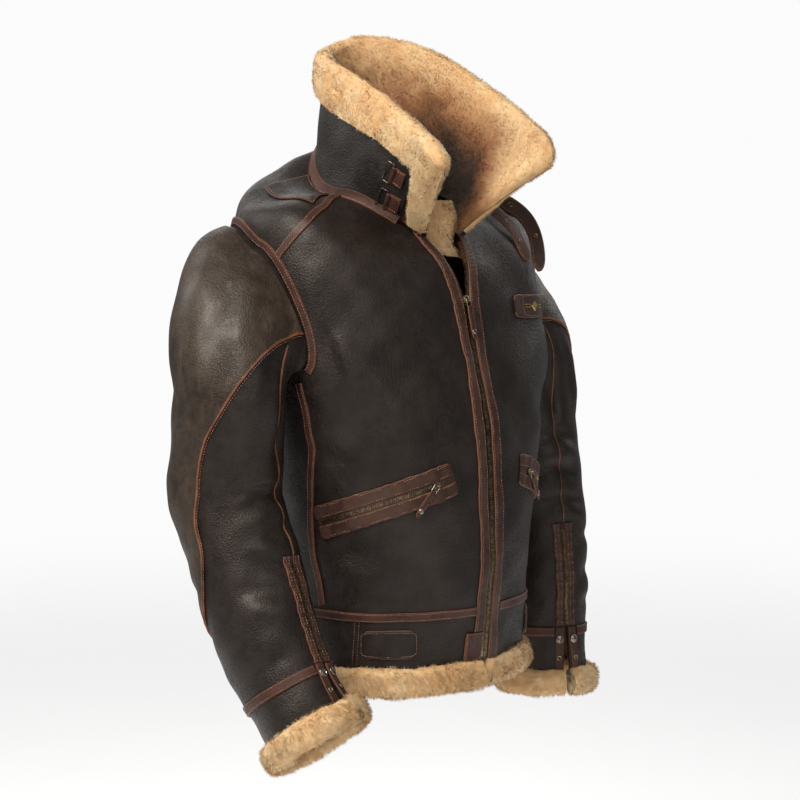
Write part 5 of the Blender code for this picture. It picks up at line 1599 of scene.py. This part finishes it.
def make_straps():
    for strap in STRAPS:
        u, v, lift = table_at(strap.places, steps(0, len(strap.places) - 1, STRAP_SPANS)).T
        line, normal = torso(u, v), torso_normal(u, v)
        along = np.gradient(line, axis=0)
        aside = unit(np.cross(unit(normal + np.array(strap.facing)), along))
        facing = unit(np.cross(along, aside))
        facing = facing * np.sign(dot(facing, normal))[:, None]
        from_tip = np.clip((steps(0, 1, STRAP_SPANS) - STRAP_TIP) / (1.0001 - STRAP_TIP), 0, 1)
        half = np.maximum(STRAP_HALF * (1 - from_tip**2.6) ** 0.5, STRAP_HALF * STRAP_TIP_LEAST)
        base = line + normal * lift[:, None]
        grid = base[:, None, :] + aside[:, None, :] * (half[:, None] * EDGE_ROLL)[..., None]
        bow = STRAP_BOW * EDGE_ROLL**2
        outer = grid + facing[:, None, :] * (STRAP_THICK * EDGE_SOFT - bow)[None, :, None]
        inner = grid - facing[:, None, :] * bow[None, :, None] * 0.5
        made = wall(strap.name + "_cut", outer, inner, strap.finish, EDGE_RIM)
        tape_piece(made, [strap.name])
        sewn = aside * (half - STRAP_SEWN_IN)[:, None]
        ring = np.concatenate((base - sewn, (base + sewn)[::-1]))
        ways = np.concatenate((facing, facing[::-1]))
        wide = np.concatenate((half, half[::-1])) > STRAP_SEWN_LEAST
        make_thread(strap.name + "_thread", ring[wide] + ways[wide] * STRAP_SEWN_LIFT, ways[wide])
        for k, at in enumerate(STRAP_EYELETS):
            make_eyelet(f"{strap.name}_eyelet_{k}", base[at] + facing[at] * STRAP_SEWN_LIFT, facing[at])


Place = collections.namedtuple("Place", "origin side along out")


def placed(place):
    """A function from (aside, along, out) in millimetres to the jacket's frame."""
    return lambda a, b, c: place.origin + (place.side * a + place.along * b + place.out * c) / 1000


def surface_place(origin, out, along):
    return Place(origin, *frames_of(along, out))


def blocks(name, place, parts, finish, nodes, bevel):
    """Blocks with rounded edges, each from its low and high corners in millimetres, as one piece."""
    whole = bmesh.new()
    for low, high in parts:
        made = bmesh.ops.create_cube(whole, size=1.0)
        for vert in made["verts"]:
            vert.co = [(a + b) / 2 + (b - a) * c for a, b, c in zip(low, high, vert.co)]
        edges = {edge for vert in made["verts"] for edge in vert.link_edges}
        width = min(bevel, *(0.45 * (b - a) for a, b in zip(low, high)))
        bmesh.ops.bevel(whole, geom=list(edges), offset=width, segments=3, profile=0.5, affect="EDGES")
    put = placed(place)
    for vert in whole.verts:
        vert.co = put(*vert.co)
    data = bpy.data.meshes.new(name)
    whole.to_mesh(data)
    whole.free()
    data.shade_smooth()
    data.set_sharp_from_angle(angle=math.radians(50))
    made = link(name, data, finish)
    flip_if_inside_out(data)
    return finish_piece(made, nodes)


def wire(name, points, radius, finish, body, nodes, count=10):
    """A closed loop of round wire through points."""
    points = np.array(points)
    ahead, behind = np.roll(points, -1, 0), np.roll(points, 1, 0)
    along = unit(ahead - behind)
    flat = unit(np.cross(points[1] - points[0], points[len(points) // 3] - points[0]))
    aside = unit(np.cross(along, flat))
    turn = np.radians(np.arange(count) * 360 / count)
    rings = (
        points[:, None, :]
        + aside[:, None, :] * (np.cos(turn) * radius)[None, :, None]
        + flat * (np.sin(turn) * radius)[None, :, None]
    )
    index = np.arange(len(points) * count).reshape(len(points), count)
    beyond = np.roll(index, -1, 0)
    faces = np.stack((index, np.roll(index, -1, 1), np.roll(beyond, -1, 1), beyond), -1).reshape(-1, 4)
    made = mesh_from(name, rings.reshape(-1, 3), faces, finish, body, sharp=70)
    flip_if_inside_out(made.data)
    return finish_piece(made, nodes)


def loop_points(put, half, low, high, corner, height=0.0):
    """A rounded rectangle in a place's own plane, in millimetres."""
    points = []
    for x, y, start in ((half, high, 0), (-half, high, 90), (-half, low, 180), (half, low, 270)):
        centre_x = x - math.copysign(corner, x)
        centre_y = y - (corner if y == high else -corner)
        for angle in np.radians(steps(start, start + 90, 6)):
            across, along = corner * math.cos(angle), corner * math.sin(angle)
            points.append(put(centre_x + across, centre_y + along, height))
    return points


# A pull in millimetres: its wire loop, and the tab's half width at stations from the eye and from its end.
PULL_HALF, PULL_JOIN, PULL_CORNER, PULL_WIRE = 3.75, 10.0, 1.5, 0.62
PULL_TAB_NEAR = ((8.4, 3.0), (9.0, 3.2), (10.0, 3.3), (12.0, 3.6), (17.0, 4.3), (22.0, 4.5), (28.0, 4.3))
PULL_TAB_FAR = ((-7.0, 3.7), (-3.0, 3.2), (-1.2, 2.7), (-0.3, 1.9), (0.0, 0.6))
PULL_TAB_HALF_THICK, PULL_TAB_TOP = 0.9, 0.85
PULL_RIVET = 9.0  # from its end
PULL_SEWN_ASIDE, PULL_SEWN, PULL_STITCH = 2.6, (13.0, -14.0), (0.0004, 0.0012, 0.0003)


def make_pull(name, place, length):
    """A wire loop in the slider's eye, and a leather tab with a rivet."""
    put = placed(place)
    loop = loop_points(put, PULL_HALF, 0.0, PULL_JOIN, PULL_CORNER)
    wire(name + "_loop", loop, PULL_WIRE / 1000, STEEL, name, [name])
    stations = PULL_TAB_NEAR + tuple((length + b, w) for b, w in PULL_TAB_FAR)
    outer, inner = (
        np.array([[put(w * r, b, half * s) for r, s in zip(EDGE_ROLL, EDGE_SOFT)] for b, w in stations])
        for half in (PULL_TAB_HALF_THICK, -PULL_TAB_HALF_THICK)
    )
    made = wall(name + "_tab", outer, inner, TAPE, EDGE_RIM, body=name)
    revolve(name + "_rivet", put(0, length - PULL_RIVET, PULL_TAB_TOP), place.out, RIVET, STEEL, name, 18)
    lengths = steps(PULL_SEWN[0], length + PULL_SEWN[1], 8)
    for k, sign in enumerate((-1, 1)):
        line = np.array([put(sign * PULL_SEWN_ASIDE, b, PULL_TAB_TOP) for b in lengths])
        spots = along_line(line, np.repeat(place.out[None], len(line), 0), STITCH_PITCH)
        scatter(f"{name}_thread_{k}", STITCH, *spots, PULL_STITCH, THREAD, (), name)


# A slider in millimetres: its body's half width, half length, underside and top, with a bridge on it.
FRONT_SLIDER, POCKET_SLIDER_SIZE = (4.4, 4.6, -2.2, 3.4), (3.8, 4.6, 1.9, 4.0)
BRIDGE_EYE, BRIDGE_TALL, BRIDGE_THICK, BRIDGE_SUNK = 0.4, 1.9, 1.0, 0.3
BRIDGE_POSTS, BRIDGE_HALF = (1.9, 2.9), 1.0
FRONT_PULL_LENGTH, POCKET_PULL_LENGTH = 50.0, 46.0


def make_slider(name, place, half_width, half_length, low, high):
    """A slider, and how high the middle of its eye is."""
    eye = high + BRIDGE_EYE
    top = eye + BRIDGE_TALL
    near, far = BRIDGE_POSTS
    wide, foot = BRIDGE_HALF, high - BRIDGE_SUNK
    parts = (
        ((-half_width, -half_length * 0.55, low), (half_width, half_length, high)),
        ((-half_width * 0.72, -half_length, low), (half_width * 0.72, half_length * 0.4, high)),
        ((-wide, -far, foot), (wide, -near, top + 0.2)),
        ((-wide, near, foot), (wide, far, top + 0.2)),
        ((-wide, -far, top), (wide, far, top + BRIDGE_THICK)),
    )
    blocks(name + "_body", place, parts, BRASS, [name], bevel=0.45)
    return eye + BRIDGE_TALL / 2


FRONT_SLIDER_ROW = OPEN_ROW + 0.13
POCKET_PULL_TOWARD = (40.6, 2.62)  # where the right pocket's pull hangs to: angle and row


def make_sliders():
    origin, out = torso(0.0, FRONT_SLIDER_ROW), torso_normal(0.0, FRONT_SLIDER_ROW)
    place = surface_place(origin, out, torso(0.0, FRONT_SLIDER_ROW - 0.3) - origin)
    height = make_slider("front_zip_slider", place, *FRONT_SLIDER)
    make_pull("front_zip_pull", place._replace(origin=origin + out * height / 1000), FRONT_PULL_LENGTH)
    for name, side in SIDES:
        spot = pocket_place(side, POCKET_SLIDER)
        origin, out = torso(*spot), torso_normal(*spot)
        place = surface_place(origin, out, torso(*pocket_place(side, POCKET_SLIDER - 0.1)) - origin)
        height = make_slider("pocket_slider_" + name, place, *POCKET_SLIDER_SIZE)
        angle, row = POCKET_PULL_TOWARD
        place = surface_place(origin + out * height / 1000, out, torso(-side * angle, row) - origin)
        make_pull("pocket_pull_" + name, place, POCKET_PULL_LENGTH)


SNAP_ROW, CUFF_EYELET_ROW = 7.30, 7.72


def make_snaps():
    """On each cuff tab a snap, and an eyelet below it."""
    for name, side in SIDES:
        skin, slit = SLEEVES[side], CUFF_SLIT_TURN[side]
        for row in (SNAP_ROW, CUFF_EYELET_ROW):
            for sign in (-1, 1):
                path = path_at(slit, np.array((row - 0.01, row + 0.01)))
                u, v = skin.beside(path, (sign * cuff_tab_middle(row),))
                spot = u[0, 0], v[0, 0]
                origin, out = skin.point(*spot, np.array(LIFT + STRAP_LEATHER)), skin.normal(*spot)
                if row == SNAP_ROW:
                    revolve(f"cuff_{name}_snap_{sign + 1}", origin, out, SNAP, STEEL)
                else:
                    make_eyelet(f"cuff_{name}_eyelet_{sign + 1}", origin, out)


# ---------------- collar


COLLAR_ABOVE_SEAM = np.array((0.0, 0.0, 0.0015))
COLLAR_BEND = np.array((0.0, 0.0, 0.008))
CORNER_START = 0.88


def neck_angle(u):
    """The body's angle below a place on the collar."""
    return COLLAR_FRONT_ANGLE + (180 - COLLAR_FRONT_ANGLE) * (u + 1)


def collar(u, h):
    """The collar's middle layer: u is -1 at the right wing, 1 at the left, and h goes from seam to edge."""
    u, h = floats(u, h)
    base = torso(neck_angle(u), NECK_ROW) + COLLAR_ABOVE_SEAM
    crest = table_at(COLLAR_CREST, (u + 1) / 2 * (len(COLLAR_CREST) - 1))
    to_corner = np.clip((np.abs(u) - CORNER_START) / (1 - CORNER_START), 0, 1)
    drop = np.where(u > 0, *COLLAR_CORNERS) * to_corner**2
    edge = crest - unit(crest - base) * (COLLAR_ROLL + drop)[..., None]
    bend = (base + edge) / 2 + COLLAR_BEND
    h = h[..., None]
    return base * (1 - h) ** 2 + bend * 2 * h * (1 - h) + edge * h**2


def collar_frame(u, h):
    """Places on the collar's middle layer, the way up it and the way out of it."""
    u, h = floats(u, h)
    inside = np.clip(u, -0.99, 0.99)
    around = unit(collar(inside + 0.01, h) - collar(inside - 0.01, h))
    top = np.minimum(h + 0.05, 1.0)
    up = unit(collar(u, top) - collar(u, top - 0.1))
    return collar(u, h), up, unit(np.cross(up, around))


COLLAR_FOLDS = folds(
    (-3, 11, (-0.86, 0.10), (-0.78, 0.45), (-0.72, 0.85)),
    (2.2, 12, (-0.80, 0.15), (-0.70, 0.50), (-0.66, 0.90)),
    (-2.6, 12, (-0.62, 0.05), (-0.55, 0.40), (-0.52, 0.75)),
    (2, 16, (-0.45, 0.10), (-0.38, 0.50), (-0.30, 0.80)),
    (-2.2, 14, (-0.25, 0.05), (-0.18, 0.35), (-0.10, 0.70)),
    (-2.2, 14, (0.22, 0.05), (0.17, 0.35), (0.12, 0.75)),
    (-2.6, 13, (0.58, 0.05), (0.54, 0.40), (0.50, 0.80)),
    (2, 14, (0.74, 0.10), (0.70, 0.50), (0.66, 0.85)),
)


COLLAR_DEEPEST_FOLD = -0.0022
COLLAR_OUTSIDE = COLLAR_LEATHER / 2 + 0.0002
COLLAR_THREADS = (0.022, 0.048)
SEAM_TAPE_TOP, SEAM_TAPE_LIFT, SEAM_TAPE_THICK = 0.060, 0.0004, 0.0012


def make_collar_leather():
    u = steps(-COLLAR_LEATHER_END, COLLAR_LEATHER_END, 60 * FINE)
    h = steps(0, 1, 16 * FINE)[:, None]
    point, _, out = collar_frame(u, h)
    height = fold_height(point, COLLAR_FOLDS, collar) * smooth(h / 0.12) * smooth((1.02 - h) / 0.3)
    height = np.maximum(height, COLLAR_DEEPEST_FOLD)
    outer = point + out * (COLLAR_OUTSIDE + height)[..., None]
    inner = point - out * (COLLAR_LEATHER / 2)
    made = wall("collar_leather_panel", outer, inner, COLLAR_DARK)
    finish_piece(made, ["collar_leather"])
    for k, rise in enumerate(COLLAR_THREADS):
        line, _, out = collar_frame(u, rise)
        make_thread(f"collar_seam_thread_{k}", line + out * (COLLAR_LEATHER / 2 + 0.0004), out)
    # The tape over the neck seam lies half on the collar and half on the body.
    high, _, high_way = collar_frame(u, SEAM_TAPE_TOP)
    low, low_way = torso(neck_angle(u), NECK_SEAM_ROW), torso_normal(neck_angle(u), NECK_SEAM_ROW)
    part = BAND[:, None, None]
    grid = (low + low_way * SEAM_TAPE_LIFT) * (1 - part) + (high + high_way * COLLAR_OUTSIDE) * part
    way = unit(low_way * (1 - part) + high_way * part)
    outer = grid + way * SEAM_TAPE_THICK * EDGE_SOFT[:, None, None]
    made = wall("collar_seam_tape", outer, grid - way * SEAM_TAPE_LIFT, TAPE, EDGE_RIM[:, None])


# The buckles, as places on the collar, and their sizes in millimetres.
BUCKLES = {"upper": (-0.790, 0.43), "lower": (-0.800, 0.14)}
BUCKLE_LIFT = 1.8
TAB_LEATHER, TAB_HALF, TAB_LENGTH, TAB_NECK = 1.4, 10.5, 17.0, 1.5
TAB_THREADS, TAB_THREAD_LIFT = (-8.4, 8.4), 0.35
LOOP_INNER, LOOP_TURN = 1.0, (-90, 200)
FRAME_HALF, FRAME_LONG, FRAME_CORNER, FRAME_WIRE = 13.3, 11.4, 2.6, 1.05


def make_buckles():
    for name, spot in BUCKLES.items():
        point, up, out = collar_frame(*spot)
        origin = point + out * COLLAR_LEATHER / 2
        put = placed(Place(origin, square_to(out, up), np.cross(out, up), out))
        loop_outer = LOOP_INNER + TAB_LEATHER
        axis = BUCKLE_LIFT + loop_outer
        lengths, turn = steps(-TAB_LENGTH, -TAB_NECK, 14), np.radians(steps(*LOOP_TURN, 26))
        wave = 0.3 * np.sin(lengths * 0.5)
        grids = []
        for height, radius in ((BUCKLE_LIFT, loop_outer), (BUCKLE_LIFT + TAB_LEATHER, LOOP_INNER)):
            flat = np.stack((lengths, height + wave), 1)
            curl = np.stack((radius * np.cos(turn), axis + radius * np.sin(turn)), 1)
            section = np.concatenate((flat, curl))
            grids.append(np.array([[put(r, b, c) for b, c in section] for r in EDGE_ROLL * TAB_HALF]))
        middle, soft = (grids[0] + grids[1]) / 2, EDGE_SOFT[:, None, None]
        outer, inner = (middle + (grid - middle) * soft for grid in grids)
        made = wall(f"buckle_tab_{name}_cut", outer, inner, TAPE, EDGE_RIM[:, None])
        tape_piece(made, ["buckle_tab_" + name])
        for k, aside in enumerate(TAB_THREADS):
            top = BUCKLE_LIFT + TAB_LEATHER + TAB_THREAD_LIFT
            line = np.array([put(aside, b, top) for b in lengths[1:]])
            make_thread(f"buckle_tab_{name}_thread_{k}", line, np.repeat(out[None], len(line), 0))
        body = "buckle_frame_" + name
        loop = loop_points(put, FRAME_HALF, 0.0, FRAME_LONG, FRAME_CORNER, axis)
        wire(body + "_wire", loop, FRAME_WIRE / 1000, FRAME, body, [body])


# ---------------- fur


def cloud(points, scale, seed):
    """Smooth noise from -1 to 1 at places in space, with about this many swells to a metre."""
    spot = points * scale
    cell = np.floor(spot)
    part = spot - cell
    part = part * part * (3 - 2 * part)
    total = np.zeros(points.shape[:-1])
    for corner in np.ndindex(2, 2, 2):
        corner = np.array(corner)
        key = (cell + corner) @ np.array((127.1, 311.7, 74.7)) + seed * 19.19
        value = np.sin(key) * 43758.5453
        weight = np.where(corner, part, 1 - part).prod(-1)
        total += weight * (2 * (value - np.floor(value)) - 1)
    return total


def cloud_vectors(points, scale, seed):
    return np.stack([cloud(points, scale, seed + k) for k in range(3)], -1)


def grid_normals(grid):
    across = np.gradient(grid, axis=1)
    down = np.gradient(grid, axis=0)
    return unit(np.cross(across, down))


LUMPS = ((0.0010, 42.0), (0.0007, 100.0), (0.0003, 240.0))


def fluffed(grid, normals, scale=1.0):
    height = sum(tall * cloud(grid, fine, k) for k, (tall, fine) in enumerate(LUMPS)) * scale
    return grid + normals * height[..., None]


STRAND_WIDTH = 0.00058


def make_strands(grid, normals, comb, deep, count, seed, length=0.0044, lean=0.30, stand=0.72):
    """Short flat strands rooted all over a grid, curled in clumps."""
    chance = np.random.default_rng(seed)
    corners = grid[:-1, :-1], grid[:-1, 1:], grid[1:, :-1]
    area = np.linalg.norm(np.cross(corners[1] - corners[0], corners[2] - corners[0]), axis=-1)
    cells = chance.choice(area.size, count, p=(area / area.sum()).ravel())
    i, j = np.unravel_index(cells, area.shape)
    s, t = chance.random((2, count, 1))

    def spread(field):
        low = field[i, j] * (1 - s) + field[i, j + 1] * s
        high = field[i + 1, j] * (1 - s) + field[i + 1, j + 1] * s
        return low * (1 - t) + high * t

    root, out, way = spread(grid), unit(spread(normals)), spread(comb)
    clump = 0.45 * cloud_vectors(root, 70.0, 11) + 0.45 * cloud_vectors(root, 300.0, 23)
    loose = chance.normal(0, 1, (count, 3))
    reach = length * (0.62 + 0.38 * chance.random((count, 1)) + 0.22 * cloud(root, 80.0, 5)[:, None])
    first = unit(out * stand + way * lean + clump + loose * 0.20)
    second = unit(first + way * 0.10 + clump * 0.3 + loose * 0.16)
    middle = root + first * reach * 0.52
    tip = middle + second * reach * 0.52
    aside = unit(np.cross(first, out) + loose * 0.12) * STRAND_WIDTH / 2
    points = np.stack(
        (root - aside, root + aside, middle + aside * 0.9, middle - aside * 0.9, tip), 1
    ) - out[:, None, :] * 0.0008
    shading = unit(out + first * 0.18 + loose * 0.05)
    return points, shading, spread(deep[..., None])


STRAND_POINTS = 5
STRAND_ALONG = (0.0, 0.0, 0.62, 0.62, 1.0)
BODY_ALONG = 0.30


def make_fur(name, grid, normals, comb, count, seed, node, inner=None, lumps=1.0, deep=None, **strands):
    """A fluffy body with strands on it, as one piece. Without an inner grid it is round, with two caps."""
    body = fluffed(grid, normals, lumps)
    facing = grid_normals(body)
    turned = np.sign(dot(facing, normals).mean())
    normals = facing * turned
    # How much painted shade, partly a darker dye, each point gets.
    deep = np.zeros(body.shape[:2]) if deep is None else deep
    points, shading, strand_dye_and_shade = make_strands(body, normals, comb, deep, count, seed, **strands)
    rows, columns = body.shape[:2]
    base_points, base_normals, base_dye_and_shade = body.reshape(-1, 3), normals.reshape(-1, 3), deep.ravel()
    if inner is None:
        index = np.arange(rows * columns).reshape(rows, columns)
        index[:, -1] = index[:, 0]
        faces = [index_quads(index)]
        caps = [tuple(index[0, :-1][::-1]), tuple(index[-1, :-1])]
    else:
        base_points = np.concatenate((base_points, inner.reshape(-1, 3)))
        base_normals = np.concatenate((base_normals, -base_normals))
        base_dye_and_shade = np.tile(base_dye_and_shade, 2)
        faces, caps = list(shell_faces(rows, columns)), []
    if turned < 0:
        faces = [quads[:, ::-1] for quads in faces]
        caps = [cap[::-1] for cap in caps]
    first = len(base_points)
    strand = first + np.arange(count)[:, None] * STRAND_POINTS
    quads = np.concatenate([*faces, strand + np.array((0, 1, 2, 3))])
    tips = strand + np.array((3, 2, 4))
    base_along = BODY_ALONG + 0.25 * cloud(base_points, 260.0, 3)
    made = mesh_from(
        name, np.concatenate((base_points, points.reshape(-1, 3))),
        [*quads.tolist(), *tips.tolist(), *caps], FUR, sharp=180,
        attributes={
            "along": np.concatenate((base_along, np.tile(STRAND_ALONG, count))),
            "deep": np.concatenate((base_dye_and_shade, np.repeat(strand_dye_and_shade.ravel(), STRAND_POINTS))),
        },
    )
    ways = np.concatenate((base_normals, np.repeat(shading, STRAND_POINTS, 0)))
    if len(made.data.vertices) == len(ways):
        made.data.normals_split_custom_set_from_vertices(ways.tolist())
    return finish_piece(made, [node])


LOBE_FUR = (0.026, 0.034)  # across and up a lobe of fur at the hem or a cuff
LOBE_TUCK = 0.0020  # how far the pile climbs over the leather's edge
LOBE_STRANDS = {"lumps": 1.8, "length": 0.0062, "lean": 0.45}
STRANDS = {"collar": 19000, "hem": 12000, "cuff": 7500, "flap": 1600}
SEEDS = {"collar": 47, "hem": 7, "cuff": 27, "flap": 90}


def lobe_grid(edges, out, down, around=30):
    """Round sections below an edge, as a closed grid, with the ways outwards."""
    wide, high = LOBE_FUR
    turn = np.radians(steps(0, 360, around))
    across = signed_power(np.cos(turn), 0.8) * wide / 2
    along = signed_power(np.sin(turn), 0.8) * high / 2
    centre = edges - out * 0.001 + down * (high / 2 - LOBE_TUCK)
    grid = centre[:, None] + out[:, None] * across[None, :, None] - down[:, None] * along[None, :, None]
    ways = out[:, None] * (np.cos(turn) / wide)[None, :, None]
    ways = unit(ways - down[:, None] * (np.sin(turn) / high)[None, :, None])
    return grid, ways


def make_lobe(kind, name, side, edges, out, down):
    grid, ways = lobe_grid(edges, out, down)
    comb = np.zeros_like(grid) + down[:, None]
    count, seed, node = STRANDS[kind] * FINE, SEEDS[kind] + side, f"{kind}_fur_{name}"
    make_fur(node + "_pile", grid, ways, comb, count, seed, node, **LOBE_STRANDS)


def make_hem_and_cuff_fur():
    for name, side in SIDES:
        gap = float(angle_at_x(0.0, TEETH_HALF + SEAM))
        angle = -side * steps(gap + 0.2, 179.9, 90 * FINE)
        out = unit(torso_normal(angle, 0.0) * np.array((1.0, 1.0, 0.0)))
        down = np.zeros_like(out) + np.array((0.0, 0.0, -1.0))
        make_lobe("hem", name, side, torso(angle, 0.0), out, down)
        slit, half = CUFF_SLIT_TURN[side], float(cuff_slit_half(SLEEVE_END_ROW))
        turn = steps(slit + half, slit + 360 - half, 70 * FINE)
        end = sleeve(side, turn, SLEEVE_END_ROW)
        down = unit(end - sleeve(side, turn, SLEEVE_END_ROW - 0.2))
        make_lobe("cuff", name, side, end, sleeve_normal(side, turn, SLEEVE_END_ROW), down)


def collar_profile(u, reach_down, thick):
    """The pile up the inside of the collar, over its edge and down the outside."""
    edge, up, out = collar_frame(u, 1.0)
    thick = thick[:, None]
    lines = []
    for h in (0.0, 1 / 3, 2 / 3, 1.0):
        point, _, way = collar_frame(u, h)
        lines.append(point - way * thick)
    roll = COLLAR_ROLL * np.clip(thick / COLLAR_FUR, 0.1, 1.0)
    for rise, offset in ((0.7, -0.75), (1.0, 0.0), (0.7, 0.75)):
        lines.append(edge + up * rise * roll + out * offset * thick)
    for k, h in enumerate(reach_down):
        point, _, way = collar_frame(u, h)
        lines.append(point + way * thick * (0.75 if k == len(reach_down) - 1 else 1.0))
    return np.stack(lines, 1)


PROFILE_POINTS = 11
PROFILE_EDGE = 4.5  # the profile's point at the collar's edge
SHORT_REACH, LONG_REACH = (1.0, 0.90, 0.78, 2 / 3), (1.0, 2 / 3, 1 / 3, 0.06)
WING_START, WING_WIDTH = 0.868, 0.045
END_ROUND, END_FINE = 0.04, -0.84
# How dark the pile is painted, as shade and partly a darker dye, from the neck seam up the inside, and how
# much that fades towards the wings.
DYE_AND_SHADE_UP_THE_COLLAR = ((0.0, 0.5, 1.0, 1.5, 2.0, 2.5, 3.0), (1.0, 0.98, 0.88, 0.72, 0.54, 0.32, 0.0))
DYE_AND_SHADE_ROUND_THE_COLLAR = ((0.0, 0.30, 0.60, 0.78, 0.89, 0.96), (0.25, 0.18, 0.0, 0.10, 0.60, 1.0))


def make_collar_fur():
    ends = -1 + END_ROUND * (1 - np.cos(steps(0, math.pi / 2, 10)))
    u = np.concatenate(
        (ends[:-1], steps(END_ROUND - 1, END_FINE, 12)[:-1], steps(END_FINE, -0.001, 38 * FINE))
    )
    place = steps(0, PROFILE_POINTS - 1, 36 * FINE)
    wing = smooth((np.abs(u) - WING_START) / WING_WIDTH)
    from_end = np.clip((u + 1) / END_ROUND, 0, 1)
    round_end = np.sqrt(np.maximum(1 - (1 - from_end) ** 2, 0.02))
    slot = (COLLAR_LEATHER / 2 + COLLAR_SLOT * 0.7) * (1 - wing) + 0.0002 * wing * from_end
    for name, side in SIDES:
        grids = []
        for thick in (COLLAR_FUR * round_end, slot):
            short = collar_profile(side * -u, SHORT_REACH, thick)
            long = collar_profile(side * -u, LONG_REACH, thick)
            lines = short + (long - short) * wing[:, None, None]
            fine = table_at(np.moveaxis(lines, 0, 1).reshape(PROFILE_POINTS, -1), place)
            grids.append(np.moveaxis(fine.reshape(len(fine), len(u), 3), 0, 1))
        grid, under = grids
        ways = grid_normals(grid)
        ways = ways * np.sign(dot(ways, grid - under).mean())
        comb = np.where(place < PROFILE_EDGE, -1.0, 1.0)[None, :, None] * unit(np.gradient(grid, axis=1))
        # Painted shade, partly a darker dye, on the collar's inside: darkest low down, fading up it and
        # towards the wings.
        deep = np.interp(place, *DYE_AND_SHADE_UP_THE_COLLAR)[None, :]
        far = np.interp(np.abs(u), *DYE_AND_SHADE_ROUND_THE_COLLAR)[:, None]
        deep = deep * (1 - far * np.clip(place / 1.5, 0.45, 1.0))
        count, seed, node = STRANDS["collar"] * FINE, SEEDS["collar"] + side, "collar_fur_" + name
        make_fur(node + "_pile", grid, ways, comb, count, seed, node, under, deep=deep)


FLAP_FOOT = ((-0.0225, 9.72), (-0.0105, 9.52), (0.0030, 9.42), (0.0165, 9.25), (0.0310, 9.00))
FLAP_RISE = (
    (-0.0885, -0.0505, 0.0235),
    (-0.0925, -0.0370, 0.0240),
    (-0.0930, -0.0205, 0.0235),
    (-0.0910, -0.0060, 0.0185),
)
FLAP_TOP_ROW, FLAP_TOP_HALF = 9.82, 0.0245
FLAP_DEPTH, FLAP_BEHIND = 0.0070, 0.0008
FLAP_BULGE = (0.10, 0.88, 1.00, 0.88, 0.10)
FLAP_ENDS = (0.10, 0.90, 1.00, 1.00, 1.00, 0.95, 0.10)
FLAP_CURVE = 5.5  # how much its free part bows round the neck
FLAP_STRANDS = {"lumps": 0.7, "length": 0.0042}


def finer(grid, counts):
    """A grid with this many spans each way, on smooth curves through the first one."""
    for count in counts:
        rows = table_at(grid.reshape(len(grid), -1), steps(0, len(grid) - 1, count))
        grid = np.moveaxis(rows.reshape(count + 1, *grid.shape[1:]), 0, 1)
    return grid


def make_fur_flap():
    backs, outs = [], []
    for part in (0.0, 0.5, 1.0):
        x, foot = np.array(FLAP_FOOT).T
        x = x if part < 1 else np.minimum(x, FLAP_TOP_HALF)
        row = foot + (FLAP_TOP_ROW - foot) * part
        angle = -np.sign(x) * angle_at_x(row, np.abs(x))
        outs.append(torso_normal(angle, row))
        backs.append(torso(angle, row) - outs[-1] * (WALL + FLAP_BEHIND + FLAP_DEPTH))
    for y, z, half in FLAP_RISE:
        x = steps(-half, half, 4)
        backs.append(np.stack((x, y + FLAP_CURVE * x * x, np.full(5, z)), -1))
        outs.append(unit(np.stack((10.0 * x, np.full(5, -1.0), np.full(5, 0.15)), -1)))
    thick = FLAP_DEPTH * np.array(FLAP_ENDS)[:, None] * np.array(FLAP_BULGE)
    grids = np.array(backs), np.array(outs), thick[..., None]
    backs, outs, thick = (finer(grid, (26 * FINE, 20 * FINE)) for grid in grids)
    comb = np.zeros_like(backs) + np.array((0.0, -0.3, -0.95))
    make_fur(
        "fur_flap_pile", backs + outs * np.maximum(thick, 0.0004), outs, comb, STRANDS["flap"] * FINE,
        SEEDS["flap"], "fur_flap", backs, **FLAP_STRANDS,
    )


# ---------------- the whole scene


def make_floor():
    whole = bmesh.new()
    bmesh.ops.create_circle(whole, cap_ends=True, radius=FLOOR_REACH, segments=96)
    data = bpy.data.meshes.new("studio_floor")
    whole.to_mesh(data)
    whole.free()
    data.materials.append(floor_finish())
    floor = show(bpy.data.objects.new("studio_floor", data))
    floor.location.z = FLOOR_HEIGHT


def main():
    place_camera()
    place_lamps()
    make_room()
    make_floor()
    make_fronts()
    make_back()
    make_waistband()
    make_sleeves()
    make_cuffs()
    make_overlays()
    make_tapes()
    make_plackets()
    make_zip_strips()
    make_front_teeth()
    make_zip_end_patch()
    make_pockets()
    make_shoulder_patches()
    make_waist_tabs()
    make_chest_patch()
    make_straps()
    make_sliders()
    make_snaps()
    make_collar_leather()
    make_buckles()
    make_collar_fur()
    make_hem_and_cuff_fur()
    make_fur_flap()
    bpy.context.scene.view_settings.view_transform = "Standard"


main()
